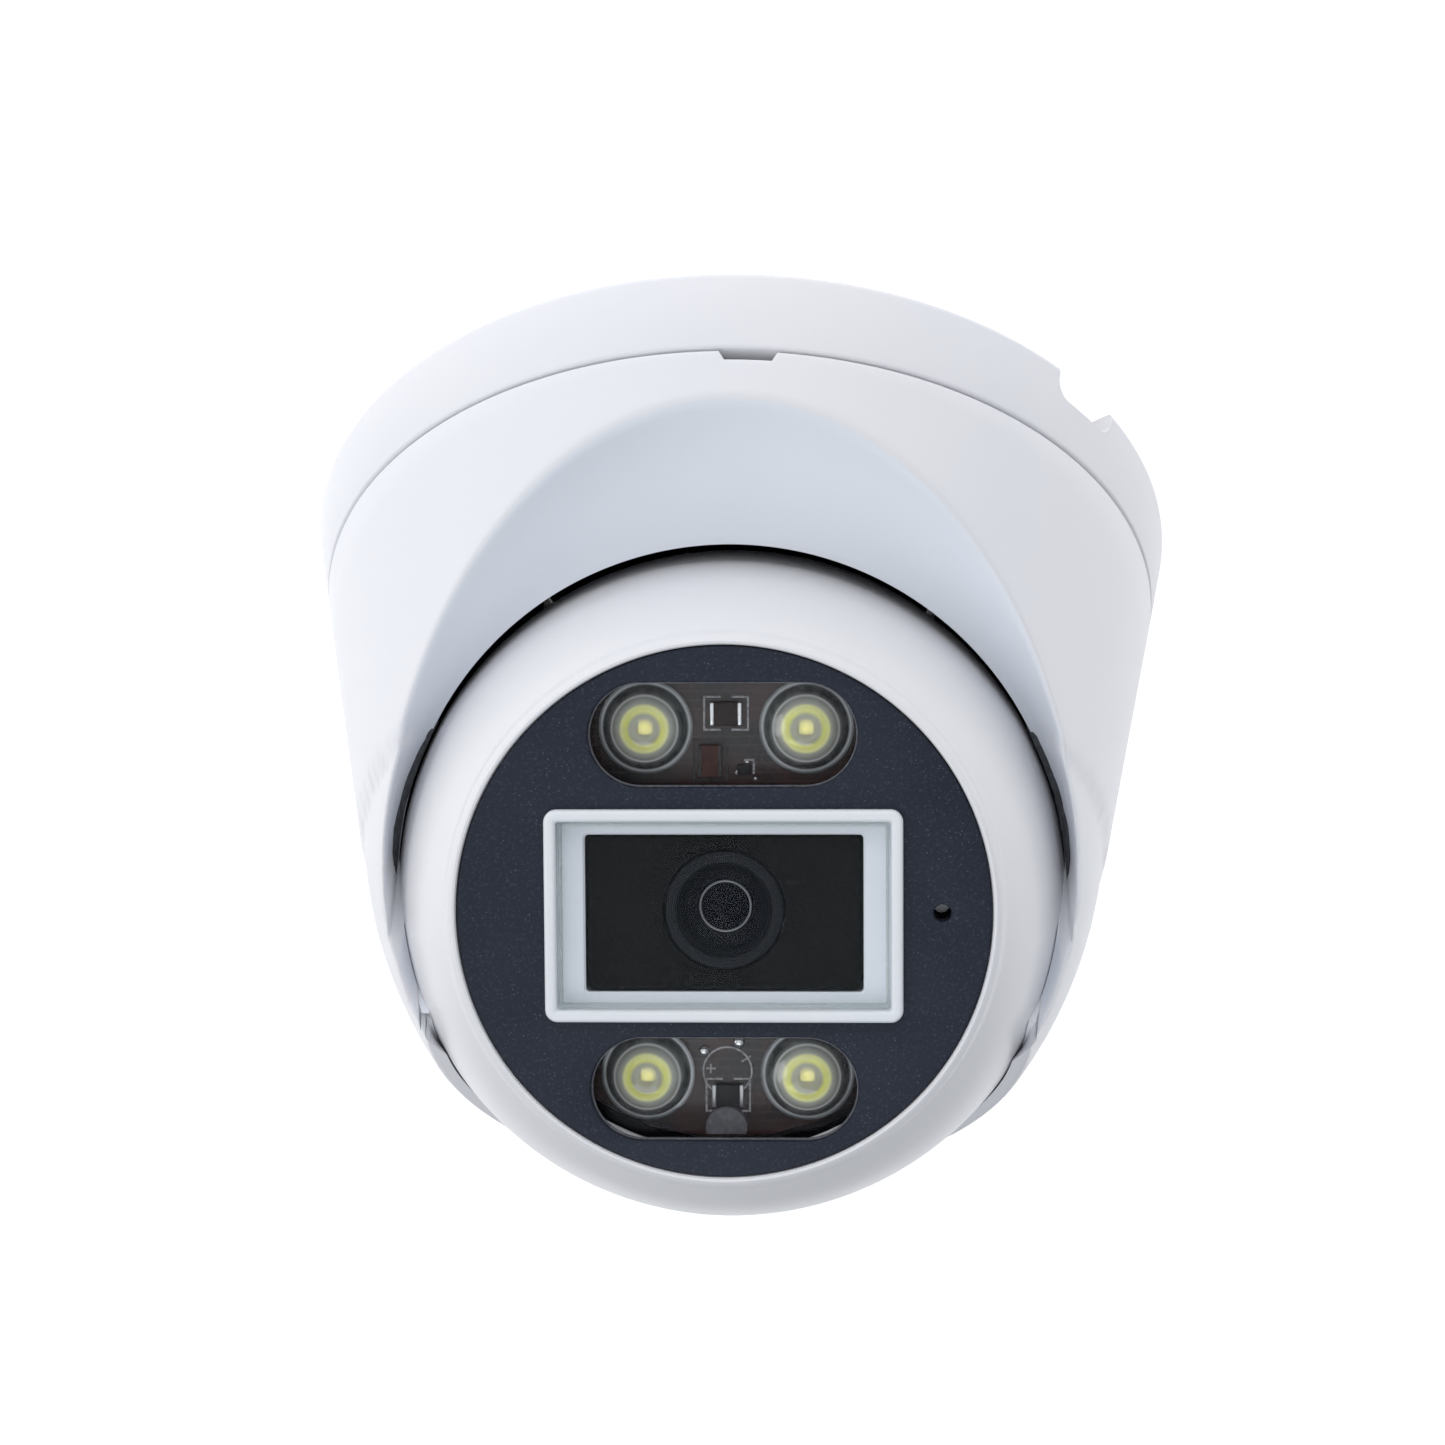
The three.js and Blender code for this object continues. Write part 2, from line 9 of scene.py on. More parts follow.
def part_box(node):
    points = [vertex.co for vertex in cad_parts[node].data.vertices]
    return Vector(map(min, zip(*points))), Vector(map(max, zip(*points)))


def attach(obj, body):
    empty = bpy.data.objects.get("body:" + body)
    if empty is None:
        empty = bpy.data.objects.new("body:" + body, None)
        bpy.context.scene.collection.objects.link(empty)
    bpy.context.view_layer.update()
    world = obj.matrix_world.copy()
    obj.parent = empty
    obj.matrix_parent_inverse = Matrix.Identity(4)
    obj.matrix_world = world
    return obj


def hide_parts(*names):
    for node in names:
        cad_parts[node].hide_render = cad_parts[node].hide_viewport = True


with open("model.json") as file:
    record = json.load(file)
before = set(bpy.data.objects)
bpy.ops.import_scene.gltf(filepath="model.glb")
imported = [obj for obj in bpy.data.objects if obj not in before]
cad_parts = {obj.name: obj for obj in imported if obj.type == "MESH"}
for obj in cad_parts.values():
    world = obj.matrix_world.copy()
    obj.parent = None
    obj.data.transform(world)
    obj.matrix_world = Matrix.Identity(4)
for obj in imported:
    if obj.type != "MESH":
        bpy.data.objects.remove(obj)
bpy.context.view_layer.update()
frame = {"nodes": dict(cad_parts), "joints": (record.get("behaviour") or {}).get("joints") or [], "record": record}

# Turret camera: every piece is drawn in millimetres, either about the mounting face or about the
# ball's centre with z along the lens, and is put in its place in metres when it is finished.
mm = 0.001
scene = bpy.context.scene
joints = {joint["name"]: joint for joint in frame["joints"]}
ballCentre = Vector(joints["roll"]["pos_m"])
lensAxis = Vector(joints["roll"]["axis"]).normalized()
acrossHead = Vector(joints["tilt"]["axis"]).normalized()
headTurn = Matrix((acrossHead, lensAxis.cross(acrossHead), lensAxis)).transposed().to_4x4()
onBase = Matrix.Scale(mm, 4)
onHead = Matrix.Translation(ballCentre) @ headTurn @ Matrix.Scale(mm, 4)


def headBox(node):  # lowest and highest corners of a piece in the head's own millimetres
    toHead = onHead.inverted()
    points = [toHead @ vert.co for vert in frame["nodes"][node].data.vertices]
    return [Vector([pick(p[axis] for p in points) for axis in range(3)]) for pick in (min, max)]


def middle(node):
    low, high = headBox(node)
    return (low + high) / 2


# Shader maths

class Wire:  # one output of a node tree, so that masks read as sums
    def __init__(self, paint, socket):
        self.paint, self.socket = paint, socket

    def maths(self, operation, other, swapped=False):
        pair = (other, self) if swapped else (self, other)
        return self.paint.node("Math", {"operation": operation}, {0: pair[0], 1: pair[1]})

    def __add__(self, other):
        return self.maths("ADD", other)

    def __sub__(self, other):
        return self.maths("SUBTRACT", other)

    def __mul__(self, other):
        return self.maths("MULTIPLY", other)

    __radd__, __rmul__ = __add__, __mul__

    def __rsub__(self, other):
        return self.maths("SUBTRACT", other, swapped=True)

    def over(self, level):  # 1 where it is above the level
        return self.maths("GREATER_THAN", level)

    def ramp(self, low, high):  # 0 below low, 1 above high, smooth between
        settings = {"interpolation_type": "SMOOTHSTEP", "clamp": True}
        return self.paint.node("MapRange", settings, {"Value": self, "From Min": low, "From Max": high})


class Paint:  # a material: a Principled shader and the nodes that feed it
    def __init__(self, name, **values):
        self.material = bpy.data.materials.new(name)
        self.material.use_nodes = True
        self.tree = self.material.node_tree
        self.shader = self.tree.nodes["Principled BSDF"]
        self.place = self.node("TexCoord", output="Object")
        self.set(**values)

    def node(self, kind, settings=None, inputs=None, output=0):
        made = self.tree.nodes.new("ShaderNode" + kind)
        for key, value in (settings or {}).items():
            if key == "stops":
                self.fillRamp(made.color_ramp, value)
            else:
                setattr(made, key, value)
        for key, value in (inputs or {}).items():
            self.feed(made.inputs[key], value)
        return Wire(self, made.outputs[output])

    def fillRamp(self, ramp, stops):
        while len(ramp.elements) < len(stops):
            ramp.elements.new(1)
        for element, (position, colour) in zip(ramp.elements, stops):
            element.position = position
            element.color = (*colour, 1)

    def feed(self, socket, value):
        if isinstance(value, Wire):
            self.tree.links.new(value.socket, socket)
        elif socket.type == "RGBA" and len(value) == 3:
            socket.default_value = (*value, 1)
        else:
            socket.default_value = value

    def set(self, **values):  # baseColor=..., coatWeight=... reach the shader's own sockets
        names = {"baseColor": "Base Color", "metallic": "Metallic", "roughness": "Roughness",
                 "alpha": "Alpha", "coatWeight": "Coat Weight", "coatRoughness": "Coat Roughness",
                 "normal": "Normal", "emission": "Emission Color",
                 "emissionStrength": "Emission Strength", "specular": "Specular IOR Level"}
        for key, value in values.items():
            self.feed(self.shader.inputs[names[key]], value)

    def noise(self, scale, detail=2.0, roughness=0.5, stretch=None):
        place = self.place
        if stretch:
            place = self.node("Mapping", None, {"Vector": place, "Scale": stretch})
        return self.node("TexNoise", None,
                         {"Vector": place, "Scale": scale, "Detail": detail, "Roughness": roughness})

    def cells(self, scale, feature="F1"):
        return self.node("TexVoronoi", {"feature": feature}, {"Vector": self.place, "Scale": scale})

    def mix(self, factor, first, second):
        settings = {"data_type": "RGBA"}
        return self.node("Mix", settings, {0: factor, 6: first, 7: second}, output=2)

    def bump(self, height, strength, distance):
        self.set(normal=self.node("Bump", None,
                                  {"Height": height, "Strength": strength, "Distance": distance}))

    def attribute(self, name):
        return self.node("Attribute", {"attribute_name": name}, output="Fac")


# Finishes

def mouldedWhite(name, tone, cool, grain=2600, depth=0.00003, gloss=0.36):
    paint = Paint(name, coatWeight=0.06, coatRoughness=0.3, specular=0.45)
    cloud = paint.noise(26, 3).ramp(0.3, 0.7)
    paint.set(baseColor=paint.mix(cloud, tone, cool))
    fine = paint.noise(grain, 2, 0.6)
    paint.set(roughness=fine * 0.08 + paint.noise(120) * 0.1 + (gloss - 0.09))
    paint.bump(fine + paint.noise(700) * 0.4, 0.35, depth)
    return paint


def navyFascia():
    paint = Paint("fasciaNavy", coatWeight=0.03, coatRoughness=0.35, specular=0.22)
    cloud = paint.noise(45, 3).ramp(0.3, 0.7)
    ground = paint.mix(cloud, (0.0105, 0.0145, 0.027), (0.0145, 0.0195, 0.034))
    grain = paint.noise(3400, 3, 0.7)
    mottle = paint.mix(grain.ramp(0.5, 0.75) * 0.5, ground, (0.06, 0.075, 0.10))
    speck = 1 - paint.cells(2400).ramp(0.10, 0.18)
    rare = paint.noise(420, 1).over(0.56)
    paint.set(baseColor=paint.mix(speck * rare * 0.5, mottle, (0.16, 0.19, 0.26)))
    paint.set(roughness=grain * 0.25 + 0.36)
    paint.bump(grain, 0.4, 0.00003)
    return paint


def blackFoam():
    paint = Paint("baffleFoam", roughness=0.85, specular=0.08)
    pores = paint.cells(1900)
    grit = paint.noise(2600, 3, 0.7)
    ground = paint.mix(grit.ramp(0.42, 0.8), (0.0045, 0.0045, 0.0055), (0.022, 0.023, 0.026))
    fleck = grit.ramp(0.66, 0.74)
    paint.set(baseColor=paint.mix(fleck * 0.7, ground, (0.09, 0.075, 0.07)))
    paint.bump(pores + grit * 0.8, 0.7, 0.00007)
    return paint


def circuitBoard(name, dark, warm, trace):
    paint = Paint(name, coatWeight=0.5, coatRoughness=0.15, specular=0.5)
    glow = paint.noise(190, 1).ramp(0.35, 0.62)
    ground = paint.mix(glow, dark, warm)
    brick = paint.node("TexBrick", None, {
        "Vector": paint.place, "Scale": 420.0, "Mortar Size": 0.03, "Color1": (0, 0, 0),
        "Color2": (0, 0, 0), "Mortar": (1, 1, 1)}, output="Fac")
    paint.set(baseColor=paint.mix(brick * 0.35, ground, trace))
    paint.set(roughness=paint.noise(900) * 0.2 + 0.25)
    paint.bump(brick, 0.3, 0.00004)
    return paint


def roughPlastic(name, tone, worn, gloss=0.5, grain=1800, depth=0.00005):
    paint = Paint(name, specular=0.4)
    grit = paint.noise(grain, 3, 0.65)
    paint.set(baseColor=paint.mix(grit.ramp(0.4, 0.75), tone, worn))
    paint.set(roughness=grit * 0.2 + (gloss - 0.1))
    paint.bump(grit, 0.5, depth)
    return paint


def brushedMetal(name, tone, streak, gloss=0.3, stretch=(1, 1, 12)):
    paint = Paint(name, metallic=1.0)
    lines = paint.noise(900, 3, 0.7, stretch)
    paint.set(baseColor=paint.mix(lines, tone, streak))
    paint.set(roughness=lines * 0.25 + (gloss - 0.1))
    paint.bump(lines, 0.2, 0.00002)
    return paint


def clearPane(name, tone, alpha, gloss=0.06):
    paint = Paint(name, baseColor=tone, coatWeight=1.0, coatRoughness=0.03, specular=0.6)
    film = paint.noise(150, 3)
    paint.set(roughness=film * 0.08 + gloss)
    paint.set(alpha=film * 0.03 + (alpha - 0.015))
    return paint


def lampLensPaintedLight():
    # the ring colours paint the phosphor and cup seen through the clear dome onto it, with pale painted highlight
    # rings
    look = {  # radius as a share of the lens, colour
        "stops": [(0.0, (0.85, 0.84, 0.45)), (0.16, (0.50, 0.51, 0.38)), (0.30, (0.36, 0.37, 0.28)),
                  (0.385, (0.80, 0.83, 0.20)), (0.49, (0.92, 0.94, 0.44)), (0.545, (0.42, 0.44, 0.38)),
                  (0.66, (0.22, 0.23, 0.22)), (0.70, (0.55, 0.57, 0.55)), (0.735, (0.10, 0.11, 0.11)),
                  (0.80, (0.03, 0.034, 0.036)), (0.90, (0.05, 0.055, 0.06)), (0.935, (0.42, 0.45, 0.47)),
                  (0.97, (0.10, 0.11, 0.12))],
        "centreAlpha": 0.45,
    }
    paint = Paint("lampLensPaintedLight", coatWeight=1.0, coatRoughness=0.04, specular=0.5)
    radius = paint.attribute("radius")
    ring = paint.node("ValToRGB", {"stops": look["stops"]}, {"Fac": radius})
    smear = paint.noise(500, 2).ramp(0.35, 0.7)
    paint.set(baseColor=paint.mix(smear * 0.25, ring, (0.5, 0.52, 0.5)))
    paint.set(alpha=radius.ramp(0.10, 0.30) * (1 - look["centreAlpha"]) + look["centreAlpha"])
    # painted glow: the lens gives off its own ring colours as light
    paint.set(emission=ring, emissionStrength=0.22)
    paint.set(roughness=smear * 0.1 + 0.08)
    return paint


def phosphor():
    # painted glow: the emitter chip gives off its own yellow as light
    paint = Paint("phosphor", emissionStrength=1.3, roughness=0.55)
    grit = paint.noise(2200, 3)
    tone = paint.mix(grit, (0.78, 0.72, 0.12), (0.95, 0.92, 0.45))
    paint.set(baseColor=tone, emission=tone)
    paint.bump(grit, 0.3, 0.00003)
    return paint


def printedInk():
    paint = Paint("boardInk", roughness=0.6)
    worn = paint.noise(3200, 2).ramp(0.3, 0.6)
    paint.set(baseColor=paint.mix(worn, (0.28, 0.28, 0.29), (0.62, 0.62, 0.64)))
    return paint


def coatedGlass():
    paint = Paint("coatedGlass", roughness=0.03, coatWeight=0.12, coatRoughness=0.02, specular=0.2)
    facing = paint.node("LayerWeight", None, {"Blend": 0.35}, output="Facing")
    film = paint.noise(260, 2)
    paint.set(baseColor=paint.mix(film.ramp(0.35, 0.7), (0.003, 0.004, 0.012), (0.008, 0.006, 0.024)))
    paint.set(alpha=facing * 0.3 + 0.16)
    return paint


def blackBarrel():
    paint = Paint("barrelBlack", specular=0.16)
    rings = paint.noise(1500, 2)
    paint.set(baseColor=paint.mix(rings, (0.004, 0.005, 0.008), (0.009, 0.011, 0.017)))
    paint.set(roughness=rings * 0.2 + 0.3)
    paint.bump(rings, 0.2, 0.00002)
    return paint


print("finishes")
shellWhite = mouldedWhite("shellWhite", (0.80, 0.79, 0.815), (0.77, 0.775, 0.81))
# a bluer copy of the shell's white for the dish: painted cool light
dishPaintedCoolWhite = mouldedWhite("dishPaintedCoolWhite", (0.77, 0.80, 0.85), (0.75, 0.78, 0.84))
ballWhite = mouldedWhite("ballWhite", (0.79, 0.785, 0.805), (0.765, 0.765, 0.795), gloss=0.32)
bezelWhite = mouldedWhite("bezelWhite", (0.80, 0.82, 0.85), (0.76, 0.79, 0.83), grain=3600, gloss=0.3)
# a lighter copy of the white for the bezel's recessed ledge: painted light
ledgePaintedLightWhite = mouldedWhite("ledgePaintedLightWhite", (0.86, 0.90, 0.96), (0.82, 0.87, 0.94), grain=3600, gloss=0.4)
paneEdge = clearPane("paneEdge", (0.42, 0.50, 0.49), 0.45)
steelWorn = brushedMetal("steelWorn", (0.50, 0.51, 0.53), (0.68, 0.69, 0.71))
brightSolder = brushedMetal("brightSolder", (0.72, 0.73, 0.75), (0.90, 0.91, 0.93), 0.22, (1, 1, 1))
rimGrey = roughPlastic("rimGrey", (0.10, 0.10, 0.125), (0.17, 0.17, 0.20), 0.3)
ink = printedInk()
faintInk = roughPlastic("faintInk", (0.06, 0.055, 0.055), (0.12, 0.11, 0.11), 0.6)
finishes = {
    "white_shell": shellWhite,
    "fascia": navyFascia(),
    "bezel": bezelWhite,
    "window_glass": clearPane("windowPane", (0.03, 0.045, 0.045), 0.04),
    "ir_window": clearPane("lampPane", (0.02, 0.02, 0.028), 0.05),
    "foam": blackFoam(),
    "board": circuitBoard("boardBlack", (0.004, 0.004, 0.005), (0.045, 0.014, 0.012), (0.10, 0.05, 0.04)),
    "green_board": circuitBoard("boardGreen", (0.01, 0.05, 0.02), (0.02, 0.09, 0.04), (0.06, 0.22, 0.10)),
    "led_lens": lampLensPaintedLight(),
    "led_phosphor": phosphor(),
    "chip": roughPlastic("chipBlack", (0.012, 0.012, 0.013), (0.035, 0.034, 0.035), 0.5),
    "rubber": roughPlastic("rubberBlack", (0.010, 0.010, 0.011), (0.028, 0.028, 0.030), 0.75, 900, 0.0001),
    "steel": steelWorn,
    "aluminium": brushedMetal("aluminiumBare", (0.60, 0.61, 0.63), (0.76, 0.77, 0.79), 0.34),
    "lens_black": blackBarrel(),
    "lens_glass": coatedGlass(),
    "filter_glass": clearPane("filterGlass", (0.18, 0.5, 0.46), 0.45),
    "grey_plastic": roughPlastic("bracketGrey", (0.055, 0.058, 0.064), (0.10, 0.105, 0.115), 0.55, 1300),
    "washer": roughPlastic("washerIvory", (0.62, 0.61, 0.56), (0.72, 0.71, 0.66), 0.4),
    "copper": brushedMetal("copperWinding", (0.45, 0.16, 0.05), (0.72, 0.30, 0.10), 0.35, (1, 1, 8)),
    "connector": roughPlastic("connectorIvory", (0.66, 0.63, 0.53), (0.76, 0.73, 0.63), 0.45),
}


# Mesh work

def newPiece(name, bm, body, paints, replaced=(), place=onBase, crease=35):
    paints = paints if isinstance(paints, list) else [paints]
    bmesh.ops.remove_doubles(bm, verts=bm.verts, dist=0.0005)
    bmesh.ops.dissolve_degenerate(bm, dist=0.0001, edges=bm.edges)
    bmesh.ops.recalc_face_normals(bm, faces=bm.faces)
    bm.transform(place)
    mesh = bpy.data.meshes.new(name)
    bm.to_mesh(mesh)
    bm.free()
    for paint in paints:
        mesh.materials.append(paint.material)
    mesh.shade_smooth()
    mesh.set_sharp_from_angle(angle=radians(crease))
    piece = bpy.data.objects.new(name, mesh)
    scene.collection.objects.link(piece)
    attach(piece, body)
    if replaced:
        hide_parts(*replaced)
    return piece


def looseObject(bm):  # a working object, for the modifiers that cut
    mesh = bpy.data.meshes.new("working")
    bmesh.ops.remove_doubles(bm, verts=bm.verts, dist=0.0005)
    bmesh.ops.recalc_face_normals(bm, faces=bm.faces)
    bm.to_mesh(mesh)
    bm.free()
    thing = bpy.data.objects.new("working", mesh)
    scene.collection.objects.link(thing)
    return thing


def asBmesh(thing):  # the finished mesh of a working object, which is then removed
    bpy.context.view_layer.update()
    seen = thing.evaluated_get(bpy.context.evaluated_depsgraph_get())
    mesh = bpy.data.meshes.new_from_object(seen)
    bm = bmesh.new()
    bm.from_mesh(mesh)
    bpy.data.objects.remove(thing)
    return bm


def cutAway(bm, tools):
    thing = looseObject(bm)
    helpers = [looseObject(tool) for tool in tools]
    for helper in helpers:
        modifier = thing.modifiers.new("cut", "BOOLEAN")
        modifier.operation = "DIFFERENCE"
        modifier.solver = "EXACT"
        modifier.object = helper
    made = asBmesh(thing)
    for helper in helpers:
        bpy.data.objects.remove(helper)
    return made


def together(meshes):
    whole = bmesh.new()
    for bm in meshes:
        mesh = bpy.data.meshes.new("part")
        bm.to_mesh(mesh)
        bm.free()
        whole.from_mesh(mesh)
    return whole


def spun(profile, steps=192):  # turned about z from (radius, height) points
    bm = bmesh.new()
    verts = [bm.verts.new((radius, 0, height)) for radius, height in profile]
    edges = [bm.edges.new(pair) for pair in zip(verts, verts[1:])]
    if profile[0][0] > 0:
        edges.append(bm.edges.new((verts[-1], verts[0])))
    bmesh.ops.spin(bm, geom=verts + edges, cent=(0, 0, 0), axis=(0, 0, 1), dvec=(0, 0, 0),
                   angle=2 * pi, steps=steps, use_merge=True, use_duplicate=False)
    return bm


def wrapped(columns, rows, at):  # a grid closed on itself both ways, each corner put where at() says
    bm = bmesh.new()
    bmesh.ops.create_grid(bm, x_segments=columns, y_segments=rows, size=1)
    for vert in bm.verts:
        column = round((vert.co.x + 1) / 2 * columns) % columns
        row = round((vert.co.y + 1) / 2 * rows) % rows
        vert.co = at(column, row)
    return bm


def bend(before, corner, after, steps=5):  # a rounded corner between two points
    spots = [k / steps for k in range(steps + 1)]
    return [before * (1 - t) ** 2 + corner * 2 * t * (1 - t) + after * t ** 2 for t in spots]


def eased(corners, steps=4):  # outline points (x, y, radius), each corner rounded by its radius
    made = []
    count = len(corners)
    for i, (x, y, radius) in enumerate(corners):
        here = Vector((x, y))
        back = Vector(corners[i - 1][:2]) - here
        ahead = Vector(corners[(i + 1) % count][:2]) - here
        if radius:
            made += bend(here + back.normalized() * radius, here, here + ahead.normalized() * radius, steps)
        else:
            made.append(here)
    return [(point.x, point.y) for point in made]


def arcOf(radius, start, end, steps):  # (radius, height) points of a sphere between two heights
    first, last = atan2(sqrt(radius ** 2 - start ** 2), start), atan2(sqrt(radius ** 2 - end ** 2), end)
    turns = [first + (last - first) * k / steps for k in range(steps + 1)]
    return [(radius * sin(turn), radius * cos(turn)) for turn in turns]


def roundRect(width, height, corner, perCorner=8, x=0.0, y=0.0):
    points = []
    for quarter, (sx, sy) in enumerate([(1, 1), (-1, 1), (-1, -1), (1, -1)]):
        for k in range(perCorner + 1):
            turn = (quarter + k / perCorner) * pi / 2
            points.append((x + sx * (width / 2 - corner) + corner * cos(turn),
                           y + sy * (height / 2 - corner) + corner * sin(turn)))
    return points


def circle(radius, x=0.0, y=0.0, steps=48):
    turns = [2 * pi * k / steps for k in range(steps)]
    return [(x + radius * cos(turn), y + radius * sin(turn)) for turn in turns]


def cutPlate(outline, holes, low, high, edge=0.0, resolution=3):
    # a flat plate between two heights with its holes, every edge rounded
    curve = bpy.data.curves.new("outline", "CURVE")
    curve.dimensions = "2D"
    curve.fill_mode = "BOTH"
    for points in [outline] + [hole[::-1] for hole in holes]:
        spline = curve.splines.new("POLY")
        spline.points.add(len(points) - 1)
        for spot, (x, y) in zip(spline.points, points):
            spot.co = (x, y, 0, 1)
        spline.use_cyclic_u = True
    curve.extrude = (high - low) / 2 - edge
    curve.bevel_depth = edge
    curve.bevel_resolution = resolution
    curve.offset = -edge
    thing = bpy.data.objects.new("outline", curve)
    scene.collection.objects.link(thing)
    bm = asBmesh(thing)
    bmesh.ops.translate(bm, verts=bm.verts, vec=(0, 0, (low + high) / 2))
    return bm


def rod(radius, low, high, x=0.0, y=0.0, segments=48):
    bm = bmesh.new()
    place = Matrix.Translation((x, y, (low + high) / 2))
    bmesh.ops.create_cone(bm, cap_ends=True, segments=segments, radius1=radius, radius2=radius,
                          depth=high - low, matrix=place)
    return bm


def softBlock(size, centre, edge=0.12, segments=3):
    bm = bmesh.new()
    bmesh.ops.create_cube(bm, size=1, matrix=Matrix.Translation(centre) @ Matrix.Diagonal((*size, 1)))
    bmesh.ops.bevel(bm, geom=bm.edges[:], offset=edge, segments=segments, profile=0.5,
                    affect="EDGES", material=-1)
    return bm


def blob(radius, centre, squash=0.6):
    bm = bmesh.new()
    place = Matrix.Translation(centre) @ Matrix.Diagonal((1, 1, squash, 1))
    bmesh.ops.create_uvsphere(bm, u_segments=20, v_segments=12, radius=radius, matrix=place)
    return bm


# Mounting base

print("mounting base")
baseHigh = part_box("mounting_base")[1]
coverLow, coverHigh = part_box("cover")
body = {
    "radius": baseHigh.x / mm,
    "taper": 0.193,  # loss of radius per millimetre of height
    "seam": (baseHigh.z + coverLow.z) / 2 / mm,
    "top": coverHigh.z / mm,
    "wall": 1.7,
    "shoulder": (45.5, -11.1, 34.3, 50.1),  # start height, then the arc's centre (radius, height), radius
}


def coneRadius(height):
    return body["radius"] - body["taper"] * height


def skinRadius(height):  # the cone, closing in round the ball above the shoulder
    start, axis, level, arc = body["shoulder"]
    if height < start - 6:
        return coneRadius(height)
    closing = axis + sqrt(max(arc ** 2 - (height - level) ** 2, 0))
    apart, soft = coneRadius(height) - closing, 0.35
    if abs(apart) < soft:  # melts one into the other
        return min(coneRadius(height), closing) - (soft - abs(apart)) ** 2 / (4 * soft)
    return min(coneRadius(height), closing)


def makeBase():
    size = {
        "hub": 22.5, "hubOuter": 25, "hubTop": 7.6, "seat": 29.5, "seatTop": 5, "floor": 2.6,
        "skirt": 42.5, "groove": (38.4, 41.6, 1.6), "seamGap": 0.11,
        "holes": (34, 2.3, (60, 180, 300)),  # wall screws: circle radius, hole radius, angles
        "retainerHoles": (23.7, 0.9, (90, 270)),
        "notch": {"turn": -53, "width": 9.4, "height": 3.4, "corner": 2.0},
    }
    top = body["seam"] - size["seamGap"]
    grooveIn, grooveOut, grooveTop = size["groove"]
    profile = eased([
        (size["hub"], 0, 0.3), (grooveIn, 0, 0.1), (grooveIn, grooveTop, 0), (grooveOut, grooveTop, 0),
        (grooveOut, 0, 0.1), (coneRadius(0), 0, 0.9), (coneRadius(top), top, 0.35),
        (size["skirt"], top, 0.15), (size["skirt"], size["floor"], 0.4), (size["seat"], size["floor"], 0.3),
        (size["seat"], size["seatTop"], 0.2), (size["hubOuter"], size["seatTop"], 0.1),
        (size["hubOuter"], size["hubTop"], 0.3), (size["hub"], size["hubTop"], 0.3),
    ])
    notch = size["notch"]
    arch = cutPlate(roundRect(notch["width"], 2 * notch["height"], notch["corner"]), [], 18, 58)
    bmesh.ops.rotate(arch, verts=arch.verts, matrix=Matrix.Rotation(radians(90), 3, "X"))
    bmesh.ops.rotate(arch, verts=arch.verts, matrix=Matrix.Rotation(radians(notch["turn"]), 3, "Z"))
    tools = [arch]
    for at, radius, angles in (size["holes"], size["retainerHoles"]):
        for angle in angles:
            tools.append(rod(radius, -1 if radius > 1 else 2.7, 10,
                             at * cos(radians(angle)), at * sin(radians(angle)), 32))
    return newPiece("base_moulding", cutAway(spun(profile, 240), tools), "base",
                    shellWhite, ["mounting_base"])


def makeShadeSheet():  # a black rubber sheet with a slit across the middle of the base: painted shade that keeps the bright floor from showing through the hub
    size = {"radius": 22.3, "low": 0.8, "high": 1.9, "slit": (9.0, 0.5), "slitCorner": 0.24, "edge": 0.2}
    slit = roundRect(*size["slit"], size["slitCorner"], 4)
    bm = cutPlate(circle(size["radius"], steps=96), [slit], size["low"], size["high"], size["edge"])
    return newPiece("base_shade_sheet", bm, "base", finishes["rubber"])


makeBase()
makeShadeSheet()


# Cover

print("cover")


